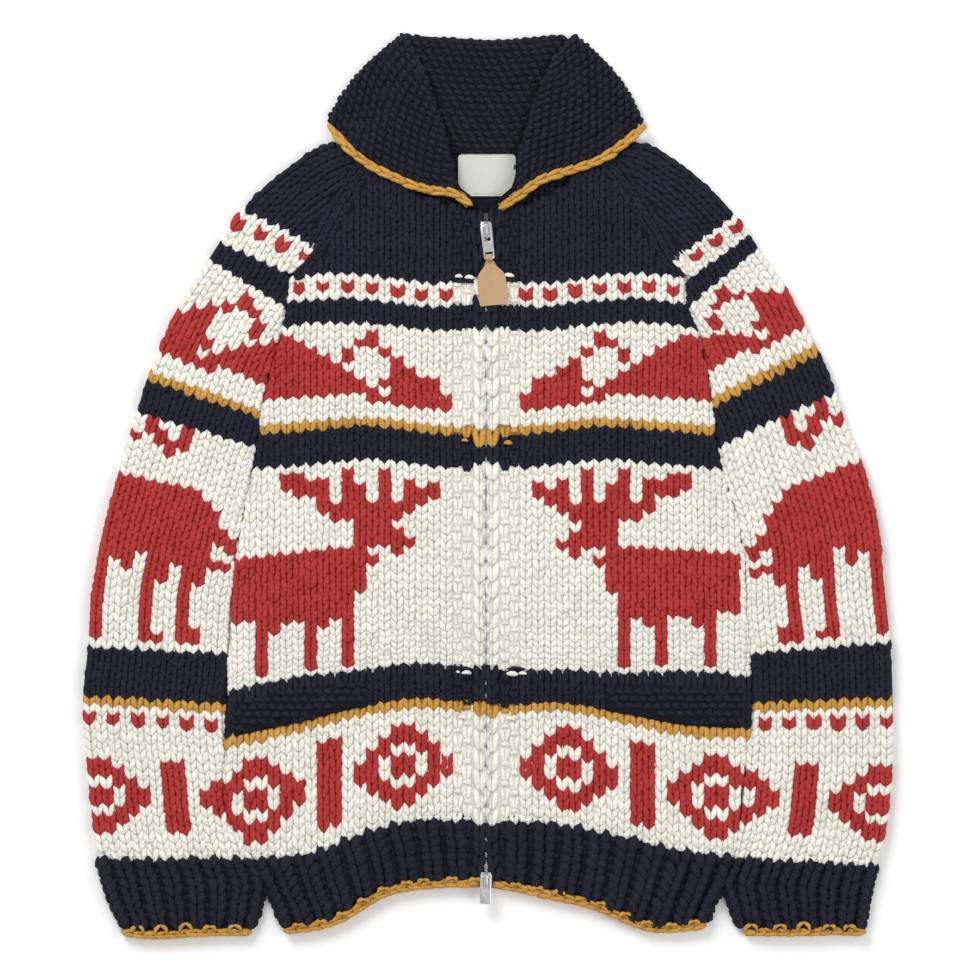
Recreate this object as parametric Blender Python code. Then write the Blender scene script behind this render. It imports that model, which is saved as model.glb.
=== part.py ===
"""A hand-knit zip cardigan, laid flat on its back.

Lengths are in millimetres until a mesh is made, which turns them into metres. X runs across the
garment, Y from hem to collar, and Z up from the surface it lies on. Left and right are as seen
from above. The back and the lower walls of the sleeves are the lower layer, the fronts and the
upper walls of the sleeves the upper one, and the collar's lobes lie on both.
"""

import math

import bmesh
import bpy
import numpy as np

MM = 0.001

# The knitted wall and the gaps between pieces
WALL = 6.0
GAP = 0.3
SEAM = 0.8
LAYER = WALL + GAP
MIDDLE = WALL + GAP / 2
GARMENT = 2 * WALL + GAP

# Ribs, welts and bind-off edges
RIB_PITCH = 23.5
RIB_RISE = 1.0
CUFF_RIBS = 7
RIB_STEPS = 3
BIND_OFF = 8.0
BIND_OFF_SEAM = 1.3
CUFF_SEAM = 0.45
WELT = 3.6

# The zip's middle line, its slot between the fronts and its teeth
ZIP_X = -1.8
ZIP_SLOT = 3.0
ZIP_TOP = 246.0
ZIP_END = -353.0
TEETH = 3.0
ZIP_BAND = 16.0

# Outlines of the body, from neck to hem: height, then distance across
RAGLAN = {
    "left": ((311, -94), (289, -111), (250, -135), (209, -160), (189, -178)),
    "right": ((311, 91), (296, 106), (279, 119), (250, 139), (211, 162), (188, 178)),
}
SIDE = {
    "left": (
        (189, -178), (151, -183), (94, -199), (15, -212), (-54, -226), (-143, -233),
        (-236, -237), (-297, -234), (-333, -212), (-358, -201), (-392, -185), (-404, -180),
    ),
    "right": (
        (188, 178), (163, 179), (135, 191), (86, 200), (28, 208), (-48, 229), (-119, 234),
        (-170, 236), (-223, 236), (-252, 231), (-306, 226), (-331, 222), (-353, 213),
        (-384, 199), (-400, 193),
    ),
}

# Heights of a front's knitted rows at five even steps from its side to the zip
ROWS = {
    "left": {
        "hem": (-404, -395, -370, -362, -361),
        "rib_top": (-336, -330, -312, -300, -303),
        "band_foot": (-234, -222, -207, -198, -205),
        "stag_foot": (-183, -171, -165, -158, -165),
        "stag_head": (17, 21, 25, 20, 14),
        "chest": (189, 193, 189, 184, 189),
        "neck": (311, 274, 260, 253, 249),
    },
    "right": {
        "hem": (-399, -401, -382, -370, -361),
        "rib_top": (-333, -327, -313, -303, -303),
        "band_foot": (-226, -223, -211, -201, -208),
        "stag_foot": (-170, -165, -167, -164, -165),
        "stag_head": (17, 21, 25, 20, 14),
        "chest": (188, 193, 189, 184, 189),
        "neck": (311, 274, 260, 253, 249),
    },
}
BACK_NECK = ((-94, 311), (-52, 304), (-2, 300), (49, 304), (91, 311))

# Outlines of the sleeves, from cuff to neck: across, height
SLEEVE_OUTER = {
    "left": (
        (-328, -405), (-334, -386), (-344, -359), (-354, -318), (-360, -264), (-365, -192),
        (-360, -143), (-357, -93), (-346, -35), (-331, 19), (-319, 60), (-306, 100),
        (-290, 141), (-268, 181), (-249, 208), (-233, 235), (-210, 262), (-178, 289),
        (-158, 303), (-142, 309), (-124, 308), (-108, 310),
    ),
    "right": (
        (338, -405), (340, -386), (346, -354), (357, -318), (363.6, -264), (364.6, -192),
        (362.6, -143), (357, -93), (352, -35), (338, 19), (321, 60), (308, 100),
        (288, 141), (268, 181), (248, 208), (230, 235), (207, 262), (176, 289),
        (155, 303), (139, 309), (121, 308), (105, 310),
    ),
}
CUFF_INNER = {
    "left": ((-213, -405), (-207, -386), (-204, -372)),
    "right": ((230, -405), (219, -386), (216, -370)),
}
CUFF_LINE = {"left": (0, -3, -1, 0, 0), "right": (0, 1, 0, 0, 0)}

# Heights at which one knitted row of a sleeve meets its inner edge and its outer edge
SLEEVE_ROWS = {
    "left": (
        (-396, -396), (-334, -335), (-195, -187), (-150, -143), (37, 68), (63, 97), (162, 205),
        (192, 221), (217, 251),
    ),
    "right": (
        (-396, -396), (-333, -341), (-194, -189), (-150, -139), (37, 86), (73, 121), (163, 215),
        (186, 227), (205, 245),
    ),
}

# The collar: where it rolls over, its bind-off edge, and its hidden fall behind the neck
ROLL = {
    "left": ((-15, 261), (-26, 270), (-32, 294), (-40, 323), (-49, 351), (-58, 377), (-67, 395)),
    "right": ((12, 261), (22, 270), (26, 294), (34, 323), (42, 348), (52, 371), (64, 393)),
}
COLLAR_EDGE = {
    "left": ((-17, 253), (-25, 261), (-54, 267), (-86, 279), (-104, 288), (-122, 301), (-140, 321)),
    "right": ((11, 251), (25, 260), (46, 275), (68, 283), (100, 294), (119, 306), (138, 322)),
}
COLLAR_SIDE = {"left": ((-75, 408), (-145, 329)), "right": ((77, 407), (139, 330))}
COLLAR_SIDE_BOW = 8.0
COLLAR_TOP = ((-62, 406), (-52, 405), (-32, 404), (3, 402), (38, 404), (56, 406), (64, 405))
FALL_EDGE = ((-122, 321), (-96, 322), (-52, 315), (-2, 311), (49, 315), (93, 322), (119, 321))
NECK_STAND = (
    (-112, 318), (-92, 313), (-52, 304.5), (-2, 300.5), (49, 304.5), (90, 313), (109, 318),
)

# Soft folds in the upper layer: middle, direction, half length, half width and rise
FOLDS = (
    {"x": -300, "y": -60, "turn": 20, "length": 70, "width": 16, "rise": 2.2},
    {"x": -262, "y": -100, "turn": -15, "length": 60, "width": 14, "rise": -1.8},
    {"x": -230, "y": 120, "turn": 35, "length": 60, "width": 18, "rise": 1.8},
    {"x": 305, "y": -40, "turn": -25, "length": 60, "width": 16, "rise": 2.0},
    {"x": 270, "y": -115, "turn": 12, "length": 65, "width": 15, "rise": -1.8},
    {"x": 238, "y": 128, "turn": -30, "length": 55, "width": 18, "rise": 1.6},
    {"x": -150, "y": 130, "turn": -38, "length": 70, "width": 18, "rise": 1.8},
    {"x": 150, "y": 140, "turn": 42, "length": 60, "width": 18, "rise": 1.6},
    {"x": -168, "y": -185, "turn": 4, "length": 80, "width": 20, "rise": 2.6},
    {"x": 172, "y": -180, "turn": -4, "length": 75, "width": 20, "rise": 2.6},
    {"x": -120, "y": -288, "turn": 8, "length": 110, "width": 22, "rise": 2.4},
    {"x": 125, "y": -290, "turn": -8, "length": 105, "width": 22, "rise": 2.4},
    {"x": -296, "y": -312, "turn": 2, "length": 55, "width": 18, "rise": 2.4},
    {"x": 292, "y": -310, "turn": -3, "length": 55, "width": 18, "rise": 2.2},
    {"x": -90, "y": -60, "turn": 80, "length": 90, "width": 22, "rise": 1.4},
    {"x": 96, "y": -70, "turn": 96, "length": 85, "width": 20, "rise": 1.4},
)

# The zip's sliders and pulls: the crossbar that a tab turns on, and how far the tab reaches
PULL_Z = 16.9
PULLS = {
    "top": {"bar_y": 234.0, "reach": 28.2, "lean": 6.0},
    "bottom": {"bar_y": -351.5, "reach": 22.5, "lean": -2.0},
}
TAB_WIDTH = 10.6
TAB_THICK = 1.6
TAB_SLOT = 5.2
STRAP_SLOT = 6.8
BAIL_WIDTH = 3.2
SLIDER_TOP = 15.2
LEATHER_THICK = 2.2
LEATHER_LENGTH = 43.0
LEATHER_WIDTH = 26.0
LOOP_INNER = 1.8
LOOP_OUTER = 3.2

# Neck label
LABEL = {"left": -27.0, "right": 25.0, "top": 299.5, "foot": 261.5, "thick": 0.8}

COLOURS = {
    "navy wool": ((0.013, 0.015, 0.032, 1), 0.95, 0.0),
    "cream wool": ((0.80, 0.76, 0.67, 1), 0.95, 0.0),
    "mustard wool": ((0.67, 0.35, 0.045, 1), 0.95, 0.0),
    "zip metal": ((0.72, 0.73, 0.75, 1), 0.30, 1.0),
    "zip tape": ((0.55, 0.53, 0.48, 1), 0.85, 0.0),
    "tan leather": ((0.67, 0.45, 0.24, 1), 0.60, 0.0),
    "label cloth": ((0.72, 0.72, 0.68, 1), 0.85, 0.0),
}


def clear_scene():
    for obj in list(bpy.data.objects):
        bpy.data.objects.remove(obj, do_unlink=True)


def material(name):
    """The Principled material of this name, made once."""
    found = bpy.data.materials.get(name)
    if found:
        return found
    colour, roughness, metallic = COLOURS[name]
    made = bpy.data.materials.new(name)
    made.use_nodes = True
    shader = made.node_tree.nodes["Principled BSDF"]
    shader.inputs["Base Color"].default_value = colour
    shader.inputs["Roughness"].default_value = roughness
    shader.inputs["Metallic"].default_value = metallic
    made.diffuse_color = colour
    return made


def smooth(knots, values, at):
    """A smooth curve through values at rising knots, read at these places."""
    knots = np.asarray(knots, float)
    values = np.asarray(values, float)
    slopes = np.gradient(values, knots, axis=0)
    at = np.clip(np.asarray(at, float), knots[0], knots[-1])
    low = np.clip(np.searchsorted(knots, at, side="right") - 1, 0, len(knots) - 2)
    span = knots[low + 1] - knots[low]
    t = (at - knots[low]) / span
    if values.ndim > 1:
        t = t[..., None]
        span = span[..., None]
    rise = values[low + 1] - values[low]
    start = slopes[low] * span
    end = slopes[low + 1] * span
    curve = t**2 * (3 * rise - 2 * start - end) + t**3 * (start + end - 2 * rise)
    return values[low] + t * start + curve


def along(points, shares):
    """Places at these shares of the way along a smooth curve through the points."""
    points = np.asarray(points, float)
    steps = np.linalg.norm(np.diff(points, axis=0), axis=1)
    lengths = np.concatenate([[0], np.cumsum(steps)])
    return smooth(lengths, points, np.asarray(shares) * lengths[-1])


def step(value):
    """0 below 0, 1 above 1, and a soft rise between."""
    value = np.clip(value, 0, 1)
    return value * value * (3 - 2 * value)


def rounded(distance, radius):
    """The share of its full height that a rounded edge has at this distance in from it."""
    inside = np.clip(np.asarray(distance, float) / radius, 0, 1)
    return np.sqrt(1 - (1 - inside) ** 2)


def relief(x, y):
    """How far the soft folds lift or lower the upper layer here."""
    total = np.zeros(np.shape(x))
    for fold in FOLDS:
        turn = math.radians(fold["turn"])
        run = (x - fold["x"]) * math.cos(turn) + (y - fold["y"]) * math.sin(turn)
        across = (y - fold["y"]) * math.cos(turn) - (x - fold["x"]) * math.sin(turn)
        shape = np.exp(-((run / fold["length"]) ** 2) * 1.5 - (across / fold["width"]) ** 2)
        total = total + fold["rise"] * shape
    return total


def side_x(side, y):
    """Where the body's edge lies at this height: along the raglan seam, or down the side."""
    y = np.asarray(y, float)
    raglan = np.array(RAGLAN[side][::-1], float)
    edge = np.array(SIDE[side][::-1], float)
    above = smooth(raglan[:, 0], raglan[:, 1], y)
    below = smooth(edge[:, 0], edge[:, 1], y)
    return np.where(y > raglan[0, 0], above, below)


def face_out(bm):
    """Turns a closed shape's faces outwards."""
    bmesh.ops.recalc_face_normals(bm, faces=bm.faces)
    if bm.calc_volume(signed=True) < 0:
        bmesh.ops.reverse_faces(bm, faces=bm.faces)


def link(name, bm, finish, smooth_angle=None):
    """An object from a bmesh in millimetres."""
    bmesh.ops.scale(bm, vec=(MM, MM, MM), verts=bm.verts)
    mesh = bpy.data.meshes.new(name)
    bm.to_mesh(mesh)
    bm.free()
    if smooth_angle is not None:
        mesh.shade_smooth()
        mesh.set_sharp_from_angle(angle=math.radians(smooth_angle))
    obj = bpy.data.objects.new(name, mesh)
    bpy.context.scene.collection.objects.link(obj)
    obj.data.materials.append(material(finish))
    return obj


def outline_of(grid):
    """The indices round a grid's border, with the grid's inside on their left."""
    rows, columns = grid.shape[:2]
    foot = [(0, j) for j in range(columns)]
    far = [(i, columns - 1) for i in range(1, rows)]
    head = [(rows - 1, j) for j in range(columns - 2, -1, -1)]
    near = [(i, 0) for i in range(rows - 2, 0, -1)]
    return foot + far + head + near


def inward(loop):
    """The unit normal into the area at each point of a loop that runs anticlockwise."""
    loop = np.asarray(loop, float)
    run = np.roll(loop, -1, axis=0) - np.roll(loop, 1, axis=0)
    normal = np.stack([-run[:, 1], run[:, 0]], axis=1)
    return normal / np.linalg.norm(normal, axis=1)[:, None]


def anticlockwise(loop):
    loop = np.asarray(loop, float)
    x, y = loop[:, 0], loop[:, 1]
    return np.dot(x, np.roll(y, -1)) - np.dot(y, np.roll(x, -1)) > 0


def slab(name, finish, loop, rings, top=None):
    """A flat-lying solid. rings lists (inset for each point, height) from its widest line away,
    and closes with a flat face. top is a grid's (points, heights, border), or None for a flat face
    at the first ring."""
    loop = np.asarray(loop, float)
    normals = inward(loop)
    bm = bmesh.new()
    made = []
    for inset, height in rings:
        places = loop + normals * np.asarray(inset, float)[:, None]
        made.append([bm.verts.new((x, y, height)) for x, y in places])
    for upper, lower in zip(made, made[1:]):
        for k in range(len(loop)):
            after = (k + 1) % len(loop)
            bm.faces.new((upper[k], lower[k], lower[after], upper[after]))
    if top is None:
        bm.faces.new(made[-1][::-1])
        bm.faces.new(made[0])
    else:
        points, heights, border = top
        edge = dict(zip(border, made[0]))
        rows, columns = heights.shape
        close_in_strips(bm, dict(zip(border, made[-1])), rows, columns)
        corner = {}
        for i in range(rows):
            for j in range(columns):
                x, y = points[i, j]
                corner[i, j] = edge.get((i, j)) or bm.verts.new((x, y, heights[i, j]))
        for i in range(rows - 1):
            for j in range(columns - 1):
                above = (corner[i + 1, j + 1], corner[i + 1, j])
                bm.faces.new((corner[i, j], corner[i, j + 1]) + above)
    face_out(bm)
    return link(name, bm, finish, smooth_angle=50)


def close_in_strips(bm, edge, rows, columns):
    """Closes a flat side with a strip for each row of its grid, from one edge to the other."""
    for i in range(rows - 1):
        foot = range(columns) if i == 0 else (0, columns - 1)
        head = range(columns) if i == rows - 2 else (0, columns - 1)
        strip = [edge[i, j] for j in foot] + [edge[i + 1, j] for j in head][::-1]
        bm.faces.new(strip)


def swept(name, finish, path, section):
    """A bar whose section, given as (across, up), follows a path given as (x, y, height)."""
    path = np.asarray(path, float)
    run = np.gradient(path[:, :2], axis=0)
    run = run / np.linalg.norm(run, axis=1)[:, None]
    across = np.stack([-run[:, 1], run[:, 0]], axis=1)
    bm = bmesh.new()
    rings = []
    for place, side in zip(path, across):
        ring = []
        for offset, up in section:
            x, y = place[:2] + side * offset
            ring.append(bm.verts.new((x, y, place[2] + up)))
        rings.append(ring)
    for first, second in zip(rings, rings[1:]):
        for k in range(len(section)):
            after = (k + 1) % len(section)
            bm.faces.new((first[k], first[after], second[after], second[k]))
    bm.faces.new(rings[0][::-1])
    bm.faces.new(rings[-1])
    face_out(bm)
    return link(name, bm, finish, smooth_angle=50)


def cut(obj, cutter, solver="EXACT"):
    """Takes a cutter out of a piece with a Boolean."""
    cutter.hide_render = True
    cutter.display_type = "WIRE"
    modifier = obj.modifiers.new("cut", "BOOLEAN")
    modifier.operation = "DIFFERENCE"
    modifier.solver = solver
    modifier.object = cutter


def join(obj, other):
    """Joins a helper's shape to a piece with a Boolean."""
    other.hide_render = True
    other.display_type = "WIRE"
    modifier = obj.modifiers.new("join", "BOOLEAN")
    modifier.operation = "UNION"
    modifier.object = other


# How far up a front its grid's rows lie: 0 at the hem, then 1 for each named row
HEM_ROWS = (0.0, 0.012, 0.05, 0.10, 0.4, 0.7)
BODY_ROWS = (
    1.0, 1.15, 1.4, 1.7, 2.0, 2.12, 2.5, 2.88, 3.0, 3.2, 3.4, 3.6, 3.8, 4.0, 4.25, 4.5, 4.75, 5.0,
)
YOKE_ROWS = (5.1, 5.25, 5.45, 5.65, 5.85, 5.97, 6.0)


def front_row_heights(side, rows, shares):
    """Heights over a grid of named-row places and shares from the side to the zip."""
    table = np.array(list(ROWS[side].values()), float)
    table[0] += BIND_OFF + BIND_OFF_SEAM
    at_steps = smooth(np.arange(len(table)), table, rows)
    return np.array([smooth(np.linspace(0, 1, table.shape[1]), line, shares) for line in at_steps])


def front_grid(side):
    """A front's points in plan and its outer heights."""
    rows = np.array(HEM_ROWS + BODY_ROWS + YOKE_ROWS)
    width = abs(side_x(side, 0) - ZIP_X)
    ribs = round(width / RIB_PITCH)
    middle = np.linspace(0, 1, ribs * RIB_STEPS + 1)[1:-1]
    shares = np.concatenate([[0, 0.8 / width, 3 / width], middle, [1 - 1 / width, 1]])
    y = front_row_heights(side, rows, shares)
    y_side = y[:, 0]
    x_side = side_x(side, y_side)
    zip_edge = ZIP_X + (-ZIP_SLOT if side == "left" else ZIP_SLOT)
    x = x_side[:, None] + (zip_edge - x_side)[:, None] * shares[None, :]
    reach = np.abs(zip_edge - x_side)[:, None] * shares[None, :]
    radius = np.where(rows > 5.0, 1.0, WALL)[:, None]
    across = rounded(reach, radius) * rounded(np.abs(zip_edge - x_side)[:, None] * (1 - shares), 1.0)
    lengthwise = rounded(rows * (table_gap(side)), 2.0) * np.where(rows >= 6.0, 0.0, 1.0)
    rib = np.cos(2 * math.pi * shares * ribs) * RIB_RISE
    rib = rib * step((1 - shares) * width / ZIP_BAND - 0.4)
    ribbed = step((1.08 - rows) / 0.15)[:, None] * rib[None, :]
    full = WALL + relief(x, y) * step((5.9 - rows) / 0.6)[:, None] + ribbed
    heights = LAYER + full * across * lengthwise[:, None]
    return np.stack([x, y], axis=2), heights, rows, shares


def table_gap(side):
    """The length of the rib at the side of a front, which one step of the row scale spans."""
    rows = ROWS[side]
    return rows["rib_top"][0] - rows["hem"][0]


def make_front(side):
    """A front: its outer face is a grid with ribs and folds, its inner face is flat."""
    points, heights = front_grid(side)[:2]
    border = outline_of(heights)
    loop = np.array([points[place] for place in border])
    if not anticlockwise(loop):
        border = border[::-1]
        loop = loop[::-1]
    none = np.zeros(len(loop))
    return slab("front_" + side, "cream wool", loop, [(none, LAYER)], top=(points, heights, border))


def make_welt(side):
    """A pocket welt: a strip that lies on the front, made from the front's own points."""
    points, heights, rows, shares = front_grid(side)
    row_ids = [i for i, row in enumerate(rows) if 2.1 < row < 2.9]
    column_ids = [j for j, share in enumerate(shares) if 0.02 < share < 0.58]
    sheet = points[np.ix_(row_ids, column_ids)]
    under = heights[np.ix_(row_ids, column_ids)] + GAP
    bm = bmesh.new()
    count = (len(row_ids), len(column_ids))
    low, high = {}, {}
    for i in range(count[0]):
        for j in range(count[1]):
            x, y = sheet[i, j]
            edge = i in (0, count[0] - 1) or j in (0, count[1] - 1)
            low[i, j] = bm.verts.new((x, y, under[i, j]))
            high[i, j] = bm.verts.new((x, y, under[i, j] + WELT * (0.55 if edge else 1.0)))
    for i in range(count[0] - 1):
        for j in range(count[1] - 1):
            for level in (low, high):
                bm.faces.new((level[i, j], level[i, j + 1], level[i + 1, j + 1], level[i + 1, j]))
    border = outline_of(under)
    for here, after in zip(border, border[1:] + border[:1]):
        bm.faces.new((low[here], low[after], high[after], high[here]))
    face_out(bm)
    return link("pocket_welt_" + side, bm, "navy wool", smooth_angle=50)


def lower_rings(insets, top_height, fall):
    """Rings that round a lower edge under, from its widest line down by fall."""
    rings = [(0 * insets, top_height)]
    for angle in (48, 90):
        turn = math.radians(angle)
        rings.append((insets * (1 - math.cos(turn)), top_height - fall * math.sin(turn)))
    return rings


def make_back():
    """The back: flat above where the fronts lie on it and flat below, its sides rounded under."""
    loop, radii = [], []
    rows = np.array(HEM_ROWS[:1] + HEM_ROWS[3:] + BODY_ROWS + YOKE_ROWS[:-1])
    left = front_row_heights("left", rows, [0.0])[:, 0]
    right = front_row_heights("right", rows, [0.0])[:, 0]
    shares = np.linspace(0, 1, 22)
    hem_left = front_row_heights("left", np.array([0.0]), shares)[0]
    hem_right = front_row_heights("right", np.array([0.0]), shares)[0]
    corner_left = float(side_x("left", hem_left[0]))
    corner_right = float(side_x("right", hem_right[0]))
    for share, y in zip(shares, hem_left):
        loop.append((corner_left + (ZIP_X - corner_left) * share, y))
        radii.append(1.5)
    for share, y in list(zip(shares, hem_right))[-2::-1]:
        loop.append((corner_right + (ZIP_X - corner_right) * share, y))
        radii.append(1.5)
    for y in right[1:]:
        loop.append((float(side_x("right", y)), y))
        radii.append(WALL if y < RAGLAN["right"][-1][0] else 0.8)
    for x, y in along(BACK_NECK, np.linspace(0, 1, 13))[::-1]:
        loop.append((x, y))
        radii.append(0.8)
    for y in left[:0:-1]:
        loop.append((float(side_x("left", y)), y))
        radii.append(WALL if y < RAGLAN["left"][-1][0] else 0.8)
    return slab("back", "cream wool", loop, lower_rings(np.array(radii), WALL, WALL))


def sleeve_edges(side):
    """The shares of the way up a sleeve's inner edge at which its grid has rows, and the points
    of its outer and inner edges there. From the rib up the inner edge has the front's own rows."""
    away = -SEAM if side == "left" else SEAM
    cuff = np.array(CUFF_INNER[side] + ((float(side_x(side, -358)) + away, -358),), float)
    cuff[0, 1] += BIND_OFF + CUFF_SEAM
    cuff_y = cuff[0, 1] + np.array([0, 0.9, 8, 20, 31])
    body_y = front_row_heights(side, np.array(HEM_ROWS[-1:] + BODY_ROWS + YOKE_ROWS[:-1]), [0.0])[:, 0]
    body_y = np.concatenate([body_y[:-1], [body_y[-1] - 0.9, body_y[-1]]])
    cuff_x = np.interp(cuff_y, cuff[:, 1], cuff[:, 0])
    inner_y = np.concatenate([cuff_y, body_y])
    inner = np.stack([np.concatenate([cuff_x, side_x(side, body_y) + away]), inner_y], axis=1)
    steps = np.linalg.norm(np.diff(inner, axis=0), axis=1)
    rows = np.concatenate([[0], np.cumsum(steps)]) / steps.sum()
    outer = np.array(SLEEVE_OUTER[side], float)
    outer[0, 1] += BIND_OFF + CUFF_SEAM
    fine = np.linspace(0, 1, 400)
    fine_y = along(outer, fine)[:, 1]
    rising = np.maximum.accumulate(fine_y)
    match = np.array(SLEEVE_ROWS[side], float)
    knots = np.concatenate([np.interp(match[:, 0], inner_y, rows), [1.0]])
    shares = np.concatenate([np.interp(match[:, 1], rising, fine), [1.0]])
    knots[0] = 0.0
    shares[0] = 0.0
    return rows, along(outer, smooth(knots, shares, rows)), inner


def sleeve_grid(side):
    """A sleeve's points in plan and its upper wall's outer heights. Columns run from the outer
    edge to the inner one, and rows from the cuff to the neck."""
    middle = np.linspace(0, 1, CUFF_RIBS * RIB_STEPS + 1)[1:-1]
    columns = np.concatenate([[0, 0.008, 0.028], middle, [0.972, 0.992, 1.0]])
    rows, outer, inner = sleeve_edges(side)
    u = columns[None, :, None]
    points = (1 - u) * outer[:, None, :] + u * inner[:, None, :]
    cuff_line = smooth(np.linspace(0, 1, 5), CUFF_LINE[side], columns)
    points[..., 1] += cuff_line[None, :] * step(1 - rows / 0.08)[:, None]
    width = np.linalg.norm(outer - inner, axis=1)
    underarm = RAGLAN[side][-1][0]
    inner_radius = np.where(inner[:, 1] > underarm + 0.5, 1.0, WALL)[:, None]
    from_outer = rounded(columns[None, :] * width[:, None], WALL)
    from_inner = rounded((1 - columns)[None, :] * width[:, None], inner_radius)
    ends = np.ones(len(rows))
    ends[0] = 0.0
    ends[-1] = 0.0
    rib = np.cos(2 * math.pi * columns * CUFF_RIBS) * RIB_RISE
    rib_top = SLEEVE_ROWS[side][1][0]
    ribbed = step((rib_top + 6 - inner[:, 1]) / 8)[:, None] * rib[None, :]
    folds = relief(points[..., 0], points[..., 1]) * step((1 - rows) / 0.1)[:, None]
    full = GARMENT - MIDDLE + folds + ribbed
    heights = MIDDLE + full * from_outer * from_inner * ends[:, None]
    return points, heights, inner_radius[:, 0]


def make_sleeve(side):
    """A sleeve: a knitted tube pressed flat, open at the cuff and along the raglan seam."""
    points, heights, inner_radius = sleeve_grid(side)
    rows, columns = heights.shape
    border = outline_of(heights)
    loop = np.array([points[place] for place in border])
    if not anticlockwise(loop):
        border = border[::-1]
        loop = loop[::-1]
    seam = [j == columns - 1 and inner_radius[i] < WALL for i, j in border]
    open_end = np.array([i in (0, rows - 1) for i, j in border]) | np.array(seam)
    radii = np.where(open_end, 0.6, WALL)
    sleeve = slab(
        "sleeve_" + side,
        "cream wool",
        loop,
        lower_rings(radii, MIDDLE, MIDDLE),
        top=(points, heights, border),
    )
    at_corner = np.array([i in (0, rows - 1) and j in (0, columns - 1) for i, j in border])
    insets = np.where(open_end & ~at_corner, -3.0, WALL)
    inside = [(insets, WALL + GAP), (insets, WALL)]
    # The exact solver fails on this slit, which is long and thin
    cut(sleeve, slab("inside_of_sleeve_" + side, "cream wool", loop, inside), solver="MANIFOLD")
    return sleeve


def half_round(width, height, up):
    """A bar's section with one flat side on z 0, rounded above it, or below it where up is -1."""
    half = width / 2
    sides = ((-1, 0), (-0.95, 0.45), (-0.6, 0.9), (0, 1), (0.6, 0.9), (0.95, 0.45), (1, 0))
    return [(across * half, up * share * height) for across, share in sides]


def oval(width, height):
    """A flattened round section from z 0 up."""
    return [
        (math.cos(k * math.pi / 4) * width / 2, (1 + math.sin(k * math.pi / 4)) * height / 2)
        for k in range(8)
    ]


def hem_path(side, height, start=0.01, end=0.995):
    """The middle of a front's bind-off edge, from the side to the zip."""
    table = np.array(ROWS[side]["hem"], float) + BIND_OFF / 2
    shares = np.linspace(start, end, 20)
    y = smooth(np.linspace(0, 1, 5), table, shares)
    corner = float(side_x(side, table[0]))
    zip_edge = ZIP_X + (-ZIP_SLOT if side == "left" else ZIP_SLOT)
    x = corner + (zip_edge - corner) * shares
    return np.stack([x, y, np.full(len(x), height)], axis=1)


def make_hem_edging():
    """Mustard bind-off edges under the fronts' hems and under the back's."""
    for side in ("left", "right"):
        section = half_round(BIND_OFF, WALL, 1)
        swept("hem_edging_" + side, "mustard wool", hem_path(side, LAYER), section)
    left = hem_path("left", WALL)
    right = hem_path("right", WALL)[::-1]
    swept("hem_edging_back", "mustard wool", np.concatenate([left, right]), half_round(BIND_OFF, WALL, -1))


def make_cuff_edging(side):
    """A mustard bind-off edge round a cuff, open inside as the cuff is."""
    start = np.array(SLEEVE_OUTER[side][0], float)
    end = np.array(CUFF_INNER[side][0], float)
    shares = np.linspace(0, 1, 14)
    path = start + (end - start) * (0.02 + 0.96 * shares[:, None])
    path[:, 1] += BIND_OFF / 2 + smooth(np.linspace(0, 1, 5), CUFF_LINE[side], shares)
    level = np.concatenate([path, np.zeros((len(path), 1))], axis=1)
    ring = swept("cuff_edging_" + side, "mustard wool", level, oval(BIND_OFF, GARMENT))
    slot = ((-BIND_OFF, WALL), (BIND_OFF, WALL), (BIND_OFF, LAYER), (-BIND_OFF, LAYER))
    cut(ring, swept("inside_of_cuff_edging_" + side, "mustard wool", level[1:-1], slot))


def under_lobe(x, y):
    """The height of what the collar's lobe lies on: one layer past the shoulder, two elsewhere."""
    shoulder = step((323 - y) / 9)
    from_crease = np.where(x < 0, x + 94 - (y - 311) * 0.2, 91 - (y - 311) * 0.16 - x)
    stand = step((from_crease + 12) / 12)
    return WALL + LAYER * np.maximum(shoulder, stand)


def block_top(x, y):
    """The height of the collar's back where it stands behind the neck."""
    from_crease = np.where(x < 0, x + 94 - (y - 311) * 0.2, 91 - (y - 311) * 0.16 - x)
    return WALL + LAYER * step((from_crease - 1) / 12) * step((y - 292) / 26 + 0.25)


def collar_line(roll, edge, bow, shares):
    """Points from the roll to the edge, bowed sideways by bow at the middle."""
    run = edge - roll
    side = np.array([run[1], -run[0]]) / np.linalg.norm(run)
    return roll + run * shares[:, None] + side * (bow * 4 * shares * (1 - shares))[:, None]


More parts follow.
